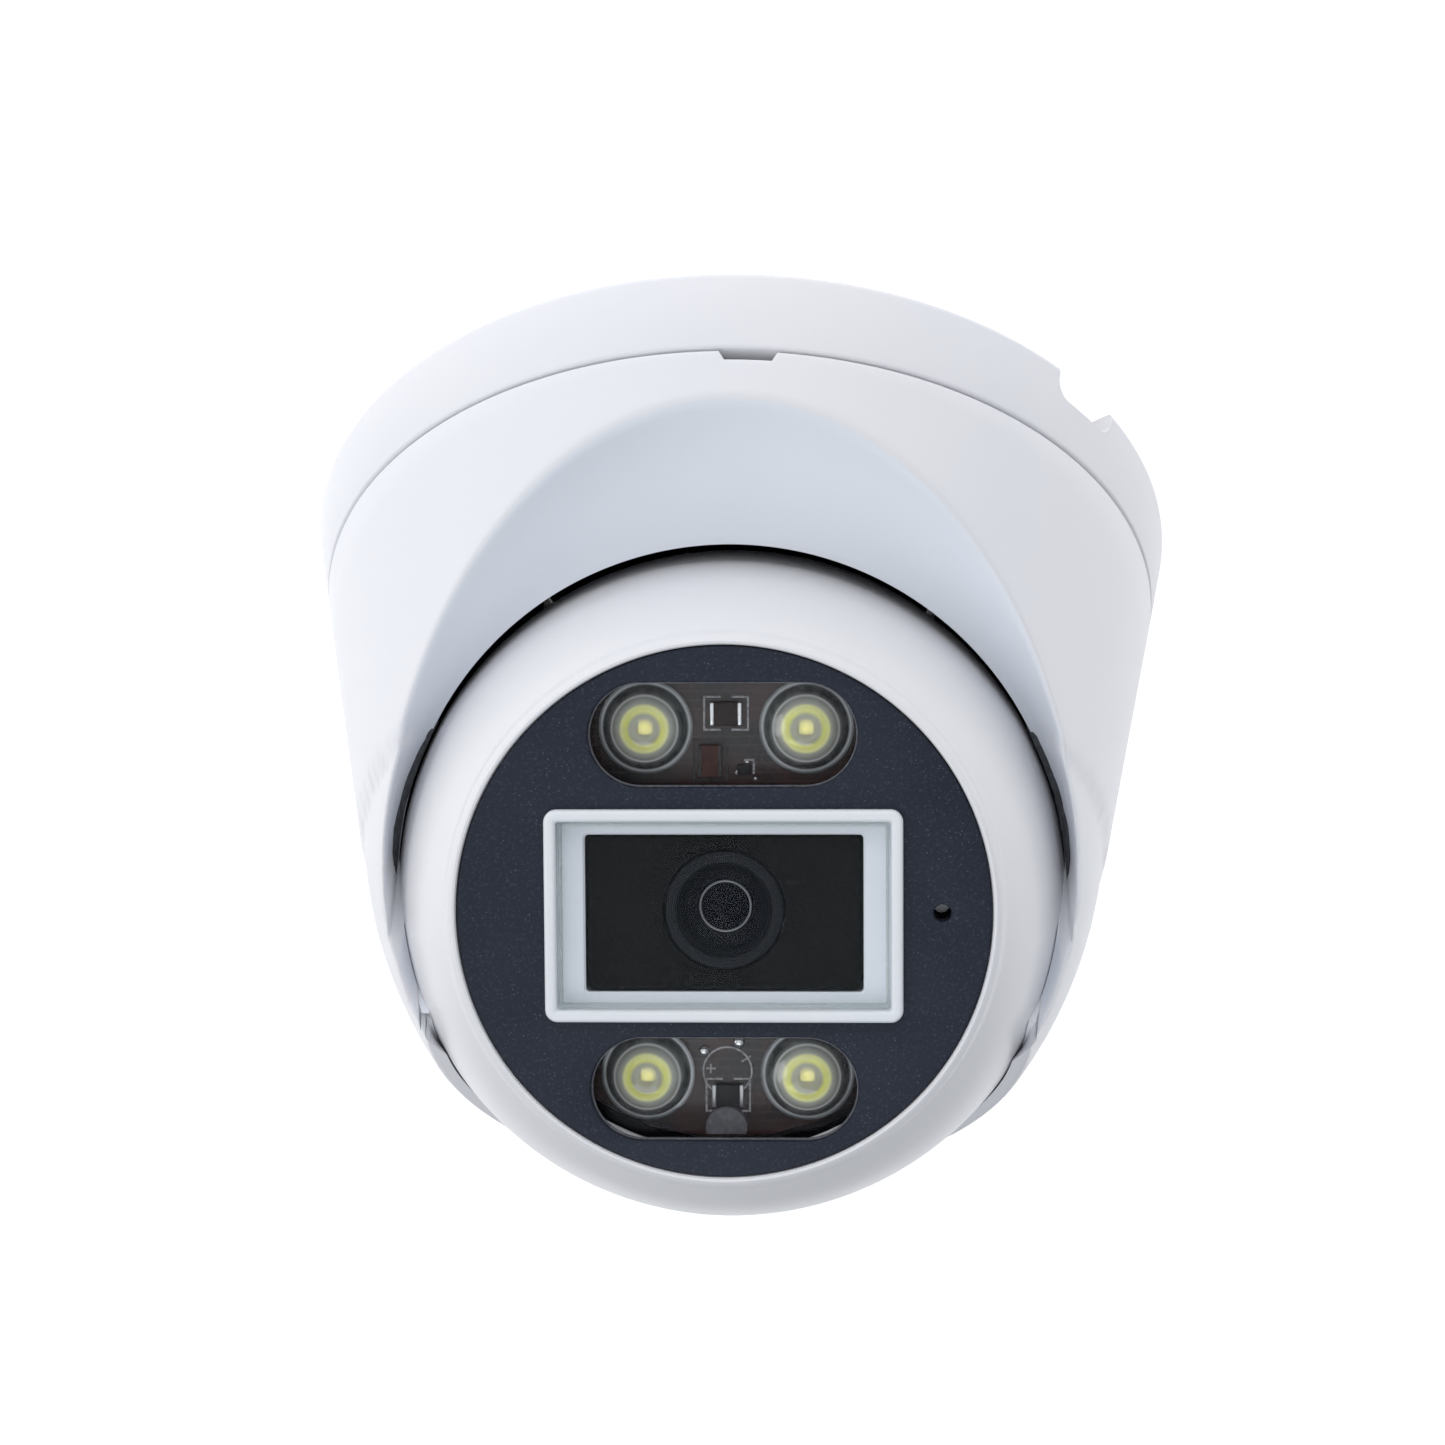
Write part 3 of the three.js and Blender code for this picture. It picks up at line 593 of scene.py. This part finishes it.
def makeCover():
    size = {
        "columns": 420, "turn": -1, "lean": 46.7,  # the dished front's axis
        "outer": 12.4, "side": 4.0, "front": 7,  # heights of the dish along that axis
        "halfWidth": 34.42, "reach": 35.75, "curve": 1.4, "steep": 3.0,
        "seat": 34.65, "relief": 0.3, "thick": 2.1,  # lip's radius about the ball, and the wall's extra room
        "rimRound": 1.1, "mouthRound": 0.2, "seamRound": 0.4, "topBlend": 0.8,
        "halvings": 26, "coneRows": 18, "dishRows": 18, "underRows": 9, "insideRows": 8,
        "pry": {"turn": -93, "top": 4.8, "bottom": 5.9, "height": 0.95},
    }
    centre = ballCentre.z / mm
    lean, turn = radians(size["lean"]), radians(size["turn"])
    bottom = body["seam"] + 0.11

    def inDish(x, y, z):  # height along the dish's axis, reach from it, and direction round it
        px = x * cos(-turn) - y * sin(-turn)
        py = x * sin(-turn) + y * cos(-turn)
        pz = z - centre
        height = -py * sin(lean) + pz * cos(lean)
        down = -py * cos(lean) - pz * sin(lean)
        return height, hypot(px, down), atan2(down, px)

    outerReach = []
    for k in range(720):  # where the dish's plane leaves the cone, twice per degree
        angle = 2 * pi * k / 720
        low, high = 30.0, 80.0
        for _ in range(36):
            reach = (low + high) / 2
            x, down = reach * cos(angle), reach * sin(angle)
            y = -size["outer"] * sin(lean) - down * cos(lean)
            z = centre + size["outer"] * cos(lean) - down * sin(lean)
            if hypot(x, y) < skinRadius(z):
                low = reach
            else:
                high = reach
        outerReach.append(low)

    def mouthEdge(k):  # reach and height of the opening's edge; the collar thins out towards the flat top
        angle = 2 * pi * k / 720
        down = max(sin(angle), 0)
        if down:
            return (hypot(size["halfWidth"] * cos(angle), size["reach"] * sin(angle)),
                    size["side"] - (size["side"] - size["front"]) * down)
        ball, edge = hypot(size["halfWidth"], size["side"]), size["side"]
        for _ in range(30):
            wall = size["steep"] * max(outerReach[k] - sqrt(ball ** 2 - edge ** 2), 0)
            edge = (edge + size["outer"] - min(size["outer"] - size["side"], wall)) / 2
        return sqrt(ball ** 2 - edge ** 2), edge

    edges = [mouthEdge(k) for k in range(720)]

    def around(table, angle):
        step = angle % (2 * pi) / (2 * pi) * 720
        first, share = int(step) % 720, step - int(step)
        return table[first], table[(first + 1) % 720], share

    def mouth(angle):
        before, after, share = around(edges, angle)
        return [a * (1 - share) + b * share for a, b in zip(before, after)]

    def dishHeight(reach, angle):
        inner, edge = mouth(angle)
        before, after, share = around(outerReach, angle)
        outer = before * (1 - share) + after * share
        across = max(0.0, min((reach - inner) / max(outer - inner, 0.4), 1.3))
        return edge + (size["outer"] - edge) * across ** size["curve"]

    def topAt(radius, azimuth):  # height of the cover's upper surface
        x, y = radius * cos(azimuth), radius * sin(azimuth)
        low, high = 8.0, 80.0
        for _ in range(size["halvings"]):
            z = (low + high) / 2
            height, reach, angle = inDish(x, y, z)
            if height < dishHeight(reach, angle):
                low = z
            else:
                high = z
        apart = low - body["top"]  # blends the dish into the flat top
        if abs(apart) < 2 * size["topBlend"]:
            soft = 2 * size["topBlend"]
            return min(low, body["top"]) - (soft - abs(apart)) ** 2 / (4 * soft)
        return min(low, body["top"])

    def isOpen(radius, azimuth):
        x, y, z = radius * cos(azimuth), radius * sin(azimuth), topAt(radius, azimuth)
        _, reach, angle = inDish(x, y, z)
        return hypot(x, y, z - centre) < size["seat"] or reach < mouth(angle)[0]

    def seatRadius(height):  # the hidden wall stands a little further off the ball than the lip
        return sqrt(max((size["seat"] + size["relief"]) ** 2 - (height - centre) ** 2, 0))

    def edgeHeight(azimuth):  # the seam, raised over the pry slot
        slot = size["pry"]
        away = (azimuth - radians(slot["turn"]) + pi) % (2 * pi) - pi
        along = abs(away) * coneRadius(bottom)
        share = (slot["bottom"] / 2 - along) / ((slot["bottom"] - slot["top"]) / 2)
        return bottom + slot["height"] * max(0.0, min(share, 1.0))

    def column(azimuth):
        low, high = bottom, body["top"]
        for _ in range(size["halvings"]):  # the rim, where the cone meets the upper surface
            z = (low + high) / 2
            if topAt(skinRadius(z), azimuth) > z:
                low = z
            else:
                high = z
        rim = Vector((skinRadius(low), low))
        inside, outside = 20.0, rim.x
        for _ in range(size["halvings"]):
            radius = (inside + outside) / 2
            if isOpen(radius, azimuth):
                inside = radius
            else:
                outside = radius
        lip = Vector((outside, topAt(outside, azimuth)))

        def surface(share):
            radius = rim.x + (lip.x - rim.x) * share
            return Vector((radius, topAt(radius, azimuth)))

        width = max((rim - lip).length, 0.5)
        rimShare = min(size["rimRound"] / width, 0.35)
        lipShare = min(size["mouthRound"] / width, 0.3)
        base = edgeHeight(azimuth)
        corner = Vector((coneRadius(base) - 0.1, base))
        soft = size["seamRound"]
        points = [Vector((coneRadius(base) - body["wall"], base))]
        points += bend(corner - Vector((soft, 0)), corner, Vector((coneRadius(base + soft), base + soft)), 4)
        start, end = points[-1], Vector((skinRadius(rim.y - rimShare * width), rim.y - rimShare * width))
        for k in range(1, size["coneRows"]):
            height = start.y + (end.y - start.y) * (k / size["coneRows"]) ** 0.7
            points.append(Vector((skinRadius(height), height)))
        points += bend(end, rim, surface(rimShare), 6)
        points += [surface(rimShare + (1 - rimShare - lipShare) * k / size["dishRows"])
                   for k in range(1, size["dishRows"])]
        wallFoot = Vector((max(lip.x, seatRadius(lip.y - size["thick"])), lip.y - size["thick"]))
        points += bend(surface(1 - lipShare), lip, lip.lerp(wallFoot, 0.35), 5)
        points.append(wallFoot)
        for k in range(1, size["underRows"]):
            under = surface(1 - k / size["underRows"])
            height = under.y - size["thick"]
            radius = max(under.x, seatRadius(height))
            points.append(Vector((min(radius, skinRadius(height) - body["wall"]), height)))
        last = points[-1]
        points += [last.lerp(points[0], k / size["insideRows"]) for k in range(1, size["insideRows"])]
        return [Vector((p.x * cos(azimuth), p.x * sin(azimuth), p.y)) for p in points]

    slot = size["pry"]
    corners = [slot[key] / 2 / coneRadius(bottom) for key in ("top", "bottom")]
    azimuths = [2 * pi * k / size["columns"] for k in range(size["columns"])]
    azimuths += [(radians(slot["turn"]) + side * corner) % (2 * pi) for side in (1, -1) for corner in corners]
    columns = [column(azimuth) for azimuth in sorted(azimuths)]
    bm = wrapped(len(columns), len(columns[0]), lambda i, j: columns[i][j])
    for item in bm.faces:  # the dished front gets a bluer copy of the white: painted cool light where the dish faces the lamps
        spot = item.calc_center_median()
        height, reach, angle = inDish(*spot)
        near = abs(height - dishHeight(reach, angle)) < 0.3 and spot.z < body["top"] - 0.6
        item.material_index = 1 if near and mouth(angle)[0] < reach else 0
    return newPiece("cover_shell", bm, "housing", [shellWhite, dishPaintedCoolWhite], ["cover"],
                    crease=50)


makeCover()


# Ball and tilt ring

print("ball")
ballSize = {
    "radius": 34.57, "core": 32.2, "hollow": 30.2, "seal": -5.5, "fascia": headBox("fascia")[1].x,
    "ringLow": -12, "ringHigh": 2, "ringOuter": 34.5, "ringInner": 32.7, "ringGap": 0.3,
    "mouthHeight": 20.7, "ledge": 19.7, "well": 25.3, "wellFoot": 17.2,
}


def makeFrontShell():
    size = ballSize
    beltTop = size["ringHigh"] + size["ringGap"]
    low = size["seal"] + 0.5
    fasciaRadius = size["fascia"]
    lip = [(27.62, 21.05), (27.45, 21.45), (27.18, 21.82), (26.85, 22.05), (26.62, 22.0),
           (fasciaRadius + 0.13, 21.8)]
    profile = arcOf(size["hollow"], size["wellFoot"], low, 10) + arcOf(size["core"], low, beltTop, 4)
    profile += eased([(*point, 0) for point in arcOf(size["radius"], beltTop, size["mouthHeight"], 40)])
    profile += lip + [(fasciaRadius + 0.13, size["ledge"]), (size["well"], size["ledge"]),
                      (size["well"], size["wellFoot"])]
    return newPiece("ball_front", spun(profile, 256), "ball", ballWhite,
                    ["ball_front_shell"], onHead)


def makeRearShell():
    size = ballSize
    bore = {"radius": 5.1, "screwAt": 26, "screwSeat": -16, "counterbore": 2.9, "angles": (30, 150, 270)}
    beltLow = size["ringLow"] - size["ringGap"]
    high = size["seal"] - 0.5
    poleOut = -sqrt(size["radius"] ** 2 - bore["radius"] ** 2)
    poleIn = -sqrt(size["hollow"] ** 2 - bore["radius"] ** 2)
    profile = arcOf(size["radius"], poleOut, beltLow, 30) + arcOf(size["core"], beltLow, high, 4)
    profile += arcOf(size["hollow"], high, poleIn, 12)
    tools = [rod(bore["counterbore"], -34, bore["screwSeat"], bore["screwAt"] * cos(radians(angle)),
                 bore["screwAt"] * sin(radians(angle)), 40) for angle in bore["angles"]]
    return newPiece("ball_rear", cutAway(spun(profile, 192), tools), "ball", ballWhite,
                    ["ball_rear_shell"], onHead)


def makeTiltRing():
    size = ballSize
    profile = arcOf(size["ringOuter"], size["ringLow"], size["ringHigh"], 10)
    profile += arcOf(size["ringInner"], size["ringHigh"], size["ringLow"], 6)
    return newPiece("tilt_ring_moulding", spun(profile, 192), "gimbal", ballWhite,
                    ["tilt_ring"], onHead)


makeFrontShell()
makeRearShell()
makeTiltRing()


# Face: fascia, lamp panes, bezel, glass, foam

print("face")
face = {
    "front": headBox("fascia")[1].z, "thick": 2.0, "pillLength": 26.5, "pillHeight": 10.4, "pillY": 17.6,
    "microphoneX": middle("microphone_boot").x, "microphoneRadius": 0.85,
}
bezelLow, bezelHigh = headBox("bezel_frame")
glassLow, glassHigh = headBox("window_glass")
foamLow, foamHigh = headBox("foam_baffle")
bezelY = (bezelLow.y + bezelHigh.y) / 2
bezelWidth, bezelHeight = bezelHigh.x - bezelLow.x, bezelHigh.y - bezelLow.y
foamWidth, foamHeight = foamHigh.x - foamLow.x, foamHigh.y - foamLow.y


def pillOutline(grow, y):
    width, height = face["pillLength"] + 2 * grow, face["pillHeight"] + 2 * grow
    return roundRect(width, height, height / 2 - 0.01, 16, 0, y)


def makeFascia():
    size = {"edge": 0.22, "bezelLap": 1.2, "bezelGap": 0.5, "corner": 0.9}
    width, height = [side - size["bezelLap"] + size["bezelGap"] for side in (bezelWidth, bezelHeight)]
    holes = [pillOutline(0, face["pillY"]), pillOutline(0, -face["pillY"]),
             roundRect(width, height, size["corner"], 6, 0, bezelY),
             circle(face["microphoneRadius"], face["microphoneX"], 0, 32)]
    bm = cutPlate(circle(ballSize["fascia"], steps=192), holes, face["front"] - face["thick"], face["front"],
                  size["edge"])
    return newPiece("fascia_plate", bm, "ball", finishes["fascia"], ["fascia"], onHead)


def makeLampPanes():
    for number, side in ((1, -1), (2, 1)):
        low, high = headBox(f"ir_window_{number}")
        bm = cutPlate(pillOutline(0.25, side * face["pillY"]), [], low.z, high.z, 0.12)
        newPiece(f"lamp_pane_{number}", bm, "ball", finishes["ir_window"],
                 [f"ir_window_{number}"], onHead)


def makePillRims():  # the moulded lips that hold the lamp panes
    size = {"inner": -0.16, "outer": -0.01, "low": 1.15, "high": 0.55, "edge": 0.03}
    for number, side in ((1, -1), (2, 1)):
        y = side * face["pillY"]
        bm = cutPlate(pillOutline(size["outer"], y), [pillOutline(size["inner"], y)],
                      face["front"] - size["low"], face["front"] - size["high"], size["edge"], 2)
        newPiece(f"pill_rim_{number}", bm, "ball", rimGrey, (), onHead)


def makeBezel():
    size = {"border": 1.2, "round": 0.42, "corner": 1.25, "perCorner": 8, "tongue": 0.6,
            "mouth": 0.8, "throat": 0.4, "throatDrop": 0.25}  # how much wider than the foam
    border, soft = size["border"], size["round"]
    top, foot, seat = bezelHigh.z, face["front"] + 0.04, glassLow.z - 0.06
    turns = (0, 0.4, 0.8, 1.2, pi / 2)

    def outline(inset, height):
        return (bezelWidth - 2 * inset, bezelHeight - 2 * inset, max(size["corner"] - inset, 0.3), height)

    def aroundFoam(grow, corner, height):
        return (foamWidth + grow, foamHeight + grow, corner, height)

    rows = [outline(0, foot)]
    rows += [outline(soft * (1 - cos(t)), top - soft * (1 - sin(t))) for t in turns]
    rows += [outline(border - soft * (1 - sin(t)), top - soft * (1 - cos(t))) for t in turns]
    rows += [outline(border, seat), aroundFoam(size["mouth"], 0.5, seat),
             aroundFoam(size["throat"], 0.4, seat - size["throatDrop"]),
             aroundFoam(size["throat"], 0.4, bezelLow.z),
             outline(size["tongue"], bezelLow.z), outline(size["tongue"], foot)]
    rings = [roundRect(width, height, corner, size["perCorner"], 0, bezelY)
             for width, height, corner, _ in rows]
    bm = wrapped(len(rings[0]), len(rows), lambda i, j: (*rings[j][i], rows[j][3]))
    for item in bm.faces:  # the ledge behind the glass gets a lighter, bluer copy of the white: painted light lifting its shaded recess
        heights = [vert.co.z for vert in item.verts]
        item.material_index = 1 if max(heights) < seat + 0.01 else 0
    return newPiece("bezel", bm, "ball", [bezelWhite, ledgePaintedLightWhite], ["bezel_frame"], onHead)


def makeGlass():
    size = {"edge": 0.28}
    width, height = glassHigh.x - glassLow.x, glassHigh.y - glassLow.y
    bm = cutPlate(roundRect(width, height, 0.5, 4, 0, bezelY), [], glassLow.z, glassHigh.z, size["edge"], 1)
    bm.normal_update()
    for item in bm.faces:
        item.material_index = 0 if abs(item.normal.z) > 0.95 else 1
    return newPiece("window_pane", bm, "ball", [finishes["window_glass"], paneEdge],
                    ["window_glass"], onHead, 20)


def makeFoam():
    hole = circle(headBox("lens_barrel")[1].x + 0.1, steps=96)
    bm = cutPlate(roundRect(foamWidth, foamHeight, 0.7, 6, 0, bezelY), [hole], foamLow.z, foamHigh.z, 0.25)
    return newPiece("foam_block", bm, "ball", finishes["foam"], ["foam_baffle"], onHead)


makeFascia()
makeLampPanes()
makePillRims()
makeBezel()
makeGlass()
makeFoam()


# Lamps and circuit board details

print("lamps")
boardFront = headBox("led_board")[1].z


def makeLamps():
    size = {"flange": 0.5, "cup": 4.3, "crown": 2.7, "dimple": 0.25, "chip": 1.5}
    for number in range(1, 5):
        low, high = headBox(f"led_lens_{number}")
        spot = middle(f"led_lens_{number}")
        radius, foot = (high.x - low.x) / 2, low.z
        crown = []
        for k in range(13):
            turn, dip = k / 12 * pi / 2, size["dimple"] * max(0, k - 9) / 3
            crown.append((size["cup"] * cos(turn), foot + size["flange"] + size["crown"] * sin(turn) - dip))
        crown[-1] = (0, crown[-1][1])
        profile = [(0, foot + 1.1), (2.2, foot + 1.1), (2.3, foot), (radius, foot),
                   (radius, foot + size["flange"])] + crown
        bm = spun(profile, 72)
        layer = bm.verts.layers.float.new("radius")
        for vert in bm.verts:
            vert[layer] = hypot(vert.co.x, vert.co.y) / radius
        bmesh.ops.translate(bm, verts=bm.verts, vec=(spot.x, spot.y, 0))
        newPiece(f"lamp_lens_{number}", bm, "ball", finishes["led_lens"],
                 [f"led_lens_{number}"], onHead, 60)
        chip = softBlock((size["chip"], size["chip"], 0.9), (spot.x, spot.y, foot + 0.5), 0.3)
        newPiece(f"lamp_chip_{number}", chip, "ball", finishes["led_phosphor"],
                 [f"led_emitter_{number}"], onHead)


def makeChip(name, node, tone, bar, pads):
    spot = middle(node)
    low, high = headBox(node)
    width, height, deep = high.x - low.x, high.y - low.y, high.z - low.z
    body = softBlock((width - 0.5, height, deep), (spot.x, spot.y, low.z + deep / 2), 0.12)
    newPiece(name, body, "ball", tone, [node], onHead)
    ends = [softBlock((bar, height - 0.1, deep + 0.06), (spot.x + side * (width / 2 - bar / 2), spot.y,
                                                        low.z + deep / 2), 0.08) for side in (1, -1)]
    newPiece(name + "_ends", together(ends), "ball", pads, (), onHead)


def inkLine(x1, y1, x2, y2, wide=0.2):
    centre = Vector(((x1 + x2) / 2, (y1 + y2) / 2, boardFront + 0.03))
    length = hypot(x2 - x1, y2 - y1) + wide
    turn = Matrix.Rotation(atan2(y2 - y1, x2 - x1), 4, "Z")
    bm = bmesh.new()
    place = Matrix.Translation(centre) @ turn @ Matrix.Diagonal((length, wide, 0.06, 1))
    bmesh.ops.create_cube(bm, size=1, matrix=place)
    return bm


def halfBrackets(x, y, width, height, gap, wide=0.2):  # a component's printed outline, open in the middle
    lines = []
    for side in (1, -1):
        edge, inner = x + side * width / 2, x + side * gap / 2
        lines.append(inkLine(edge, y - height / 2, edge, y + height / 2, wide))
        lines += [inkLine(edge, y + end * height / 2, inner, y + end * height / 2, wide) for end in (1, -1)]
    return lines


def makePrint():
    size = {"box": (4.4, 3.3), "gap": 1.3, "faint": (3.3, 4.0), "ring": 2.45, "plus": (1.75, 17.2),
            "minus": (-1.85, 16.2)}
    top, bottom, driver = middle("resistor_1"), middle("resistor_2"), middle("led_driver")
    newPiece("board_print_top", together(halfBrackets(top.x, top.y, *size["box"], size["gap"])
             + [inkLine(-2.75, -14.2, -2.75, -12.9, 0.22), inkLine(-2.75, -14.2, -1.9, -14.2, 0.22)]),
             "ball", ink, (), onHead)
    newPiece("board_print_driver", together(halfBrackets(driver.x, driver.y, *size["faint"], 0.6, 0.16)),
             "ball", faintInk, (), onHead)
    ring = cutPlate(circle(size["ring"] + 0.09, 0.06, 17.45), [circle(size["ring"] - 0.09, 0.06, 17.45)],
                    boardFront, boardFront + 0.06)
    plusX, plusY = size["plus"]
    minusX, minusY = size["minus"]
    marks = halfBrackets(bottom.x, bottom.y, *size["box"], size["gap"]) + [
        ring, inkLine(plusX - 0.4, plusY, plusX + 0.4, plusY, 0.16),
        inkLine(plusX, plusY - 0.4, plusX, plusY + 0.4, 0.16),
        inkLine(minusX - 0.4, minusY - 0.25, minusX + 0.4, minusY + 0.25, 0.16)]
    newPiece("board_print_bottom", together(marks), "ball", ink, (), onHead)


def makeSolder():
    dots = [(0.55, 2.42, 15.36, 0.1), (0.62, -1.13, 14.43, 0.1), (0.26, -1.1, -12.95, 0.05),
            (0.22, -2.1, -13.95, 0.05), (0.2, -2.9, -12.3, 0.05)]  # radius, x, y and lift off the board
    blobs = [blob(radius, (x, y, boardFront + lift)) for radius, x, y, lift in dots]
    newPiece("solder_joints", together(blobs), "ball", brightSolder, (), onHead)
    sensor = softBlock((1.3, 1.0, 0.6), (-1.75, -13.3, boardFront + 0.35), 0.1)
    newPiece("light_sensor", sensor, "ball", finishes["chip"], (), onHead)
    disc = rod(2.1, boardFront, boardFront + 1.6, 0.14, 23.0, 40)
    kept = bmesh.ops.bisect_plane(disc, geom=disc.verts[:] + disc.edges[:] + disc.faces[:], dist=0.0001,
                                  plane_co=(0, 23.6, 0), plane_no=(0, 1, 0), clear_outer=True)
    rim = [item for item in kept["geom_cut"] if isinstance(item, bmesh.types.BMEdge)]
    bmesh.ops.holes_fill(disc, edges=rim)
    studGrey = roughPlastic("studGrey", (0.16, 0.16, 0.18), (0.25, 0.25, 0.28))
    newPiece("board_stud", disc, "ball", studGrey, (), onHead)


makeLamps()
brown = roughPlastic("bodyBrown", (0.020, 0.010, 0.009), (0.05, 0.024, 0.020), 0.45)
red = roughPlastic("padRed", (0.07, 0.018, 0.012), (0.12, 0.035, 0.022), 0.5)
makeChip("chip_resistor_1", "resistor_1", brown, 0.42, brightSolder)
makeChip("chip_resistor_2", "resistor_2", finishes["chip"], 0.42, steelWorn)
makeChip("driver_choke", "led_driver", red, 0.4, faintInk)
makePrint()
makeSolder()


# Lens

print("lens")


def makeLens():
    barrelLow, barrelHigh = headBox("lens_barrel")
    size = {"outer": barrelHigh.x, "front": barrelHigh.z, "back": barrelLow.z,
            "mouth": 4.75, "throat": 2.9, "element": 4.6, "iris": 1.3, "irisOuter": 2.8,
            "irisDepth": (4.2, 4.0), "ring": (2.42, 2.62), "ringDepth": (3.1, 2.75), "glintDepth": 3.0}
    top = size["front"]
    profile = eased([
        (3.6, size["back"], 0.1), (size["outer"], size["back"], 0.2), (size["outer"], top, 0.35),
        (size["mouth"], top, 0.15), (size["mouth"], top - 1.1, 0.1), (size["throat"], top - 3.0, 0.1),
        (size["throat"], 11, 0.1), (3.6, 10, 0.1)])
    newPiece("lens_body", spun(profile, 128), "lens", finishes["lens_black"],
             ["lens_barrel"], onHead)
    (near, far), (deep, shallow) = size["ring"], size["ringDepth"]
    ring = eased([(near, top - deep, 0), (far, top - deep, 0), (far, top - shallow, 0.06),
                  (near, top - shallow, 0.06)])
    newPiece("lens_inner_ring", spun(ring, 96), "lens", steelWorn, (), onHead)
    inner = [(0, top - 3.6), (2.4, top - 3.6)] + [
        (2.4 * cos(k / 10 * pi / 2), top - 3.3 + 0.5 * sin(k / 10 * pi / 2)) for k in range(11)]
    inner[-1] = (0, inner[-1][1])
    newPiece("lens_second_element", spun(inner, 96), "lens", finishes["lens_glass"], (), onHead)
    (near, far), (deep, shallow) = (size["iris"], size["irisOuter"]), size["irisDepth"]
    iris = eased([(near, top - deep, 0), (far, top - deep, 0), (far, top - shallow, 0),
                  (near, top - shallow, 0)])
    newPiece("lens_iris", spun(iris, 96), "lens", finishes["lens_black"], (), onHead)
    # small bright metal blobs deep in the lens, put there only to make painted glints
    glints = [(0.17, 0.1, 0.5, 0.4), (0.11, -0.25, -0.1, 0.4), (0.12, 0.45, -0.05, 0.4),
              (0.22, 0.15, -0.95, 0.3)]  # radius, x, y and flatness
    spots = [blob(radius, (x, y, top - size["glintDepth"]), flat) for radius, x, y, flat in glints]
    newPiece("lens_painted_glints", together(spots), "lens", brightSolder, (), onHead)
    elementLow, elementHigh = headBox("lens_front_element")
    rise = elementHigh.z - elementLow.z - 0.5
    dome = [(0, elementLow.z), (size["element"], elementLow.z + 0.3)] + [
        (size["element"] * cos(k / 16 * pi / 2), elementLow.z + 0.5 + rise * sin(k / 16 * pi / 2))
        for k in range(17)]
    dome[-1] = (0, dome[-1][1])
    newPiece("lens_front_glass", spun(dome, 128), "lens", finishes["lens_glass"],
             ["lens_front_element"], onHead, 60)


makeLens()


# Carried-over pieces

print("inner pieces")
slots = {part["node"]: part["material_slot"] for part in frame["record"]["subparts"]}
for node, item in frame["nodes"].items():
    item.data.materials.clear()
    item.data.materials.append(finishes[slots[node]].material)


# Floor, light and camera

print("stage")


def makeStage():
    stage = {"half": 4.0, "tone": (0.90, 0.90, 0.915), "lift": 0.68}
    bm = bmesh.new()
    bmesh.ops.create_grid(bm, x_segments=1, y_segments=1, size=stage["half"])
    mesh = bpy.data.meshes.new("studio_floor")
    bm.to_mesh(mesh)
    bm.free()
    paint = Paint("floorPaper", roughness=0.9, specular=0.1, emission=(1, 1, 1),
                  emissionStrength=stage["lift"])
    paper = paint.noise(6, 2)
    paint.set(baseColor=paint.mix(paper, stage["tone"], (0.92, 0.92, 0.93)))
    mesh.materials.append(paint.material)
    floor = bpy.data.objects.new("studio_floor", mesh)
    scene.collection.objects.link(floor)


def addLight(name, power, size, place, aim, tone=(1, 1, 1)):
    lamp = bpy.data.lights.new(name, "AREA")
    lamp.energy, lamp.size, lamp.color = power, size, tone
    item = bpy.data.objects.new(name, lamp)
    item.location = place
    item.rotation_euler = (Vector(aim) - Vector(place)).to_track_quat("-Z", "Y").to_euler()
    scene.collection.objects.link(item)


def makeLights():
    heart = (0, 0, ballCentre.z)
    world = bpy.data.worlds.new("studio")
    world.use_nodes = True
    world.node_tree.nodes["Background"].inputs["Color"].default_value = (0.93, 0.96, 1, 1)
    world.node_tree.nodes["Background"].inputs["Strength"].default_value = 0.35
    scene.world = world
    addLight("key", 2.7, 0.7, (1.0, -0.5, 0.45), heart, (1, 0.99, 0.985))
    addLight("fill", 1.7, 0.9, (0.0, -0.95, 0.6), heart, (0.92, 0.96, 1))
    addLight("overhead", 3.3, 0.8, (0.15, -0.2, 1.1), heart, (0.92, 0.96, 1))
    scene.view_settings.view_transform = "Standard"


def makeCamera():
    view = {"azimuth": -3.0, "elevation": 35.02, "roll": 181.63, "distance": 400,
            "aimRight": 1.50, "aimUp": 18.72, "lens": 89.64}
    azimuth, elevation, roll = (radians(view[key]) for key in ("azimuth", "elevation", "roll"))
    back = Vector((sin(azimuth) * cos(elevation), -cos(azimuth) * cos(elevation), sin(elevation)))
    right = Vector((cos(azimuth), sin(azimuth), 0))
    up = back.cross(right)
    place = (right * view["aimRight"] + up * view["aimUp"] + back * view["distance"]) * mm
    side = right * cos(roll) + up * sin(roll)
    head = up * cos(roll) - right * sin(roll)
    lens = bpy.data.cameras.new("camera")
    lens.lens, lens.sensor_width = view["lens"], 36
    item = bpy.data.objects.new("camera", lens)
    item.matrix_world = Matrix.Translation(place) @ Matrix((side, head, back)).transposed().to_4x4()
    scene.collection.objects.link(item)
    scene.camera = item


makeStage()
makeLights()
makeCamera()
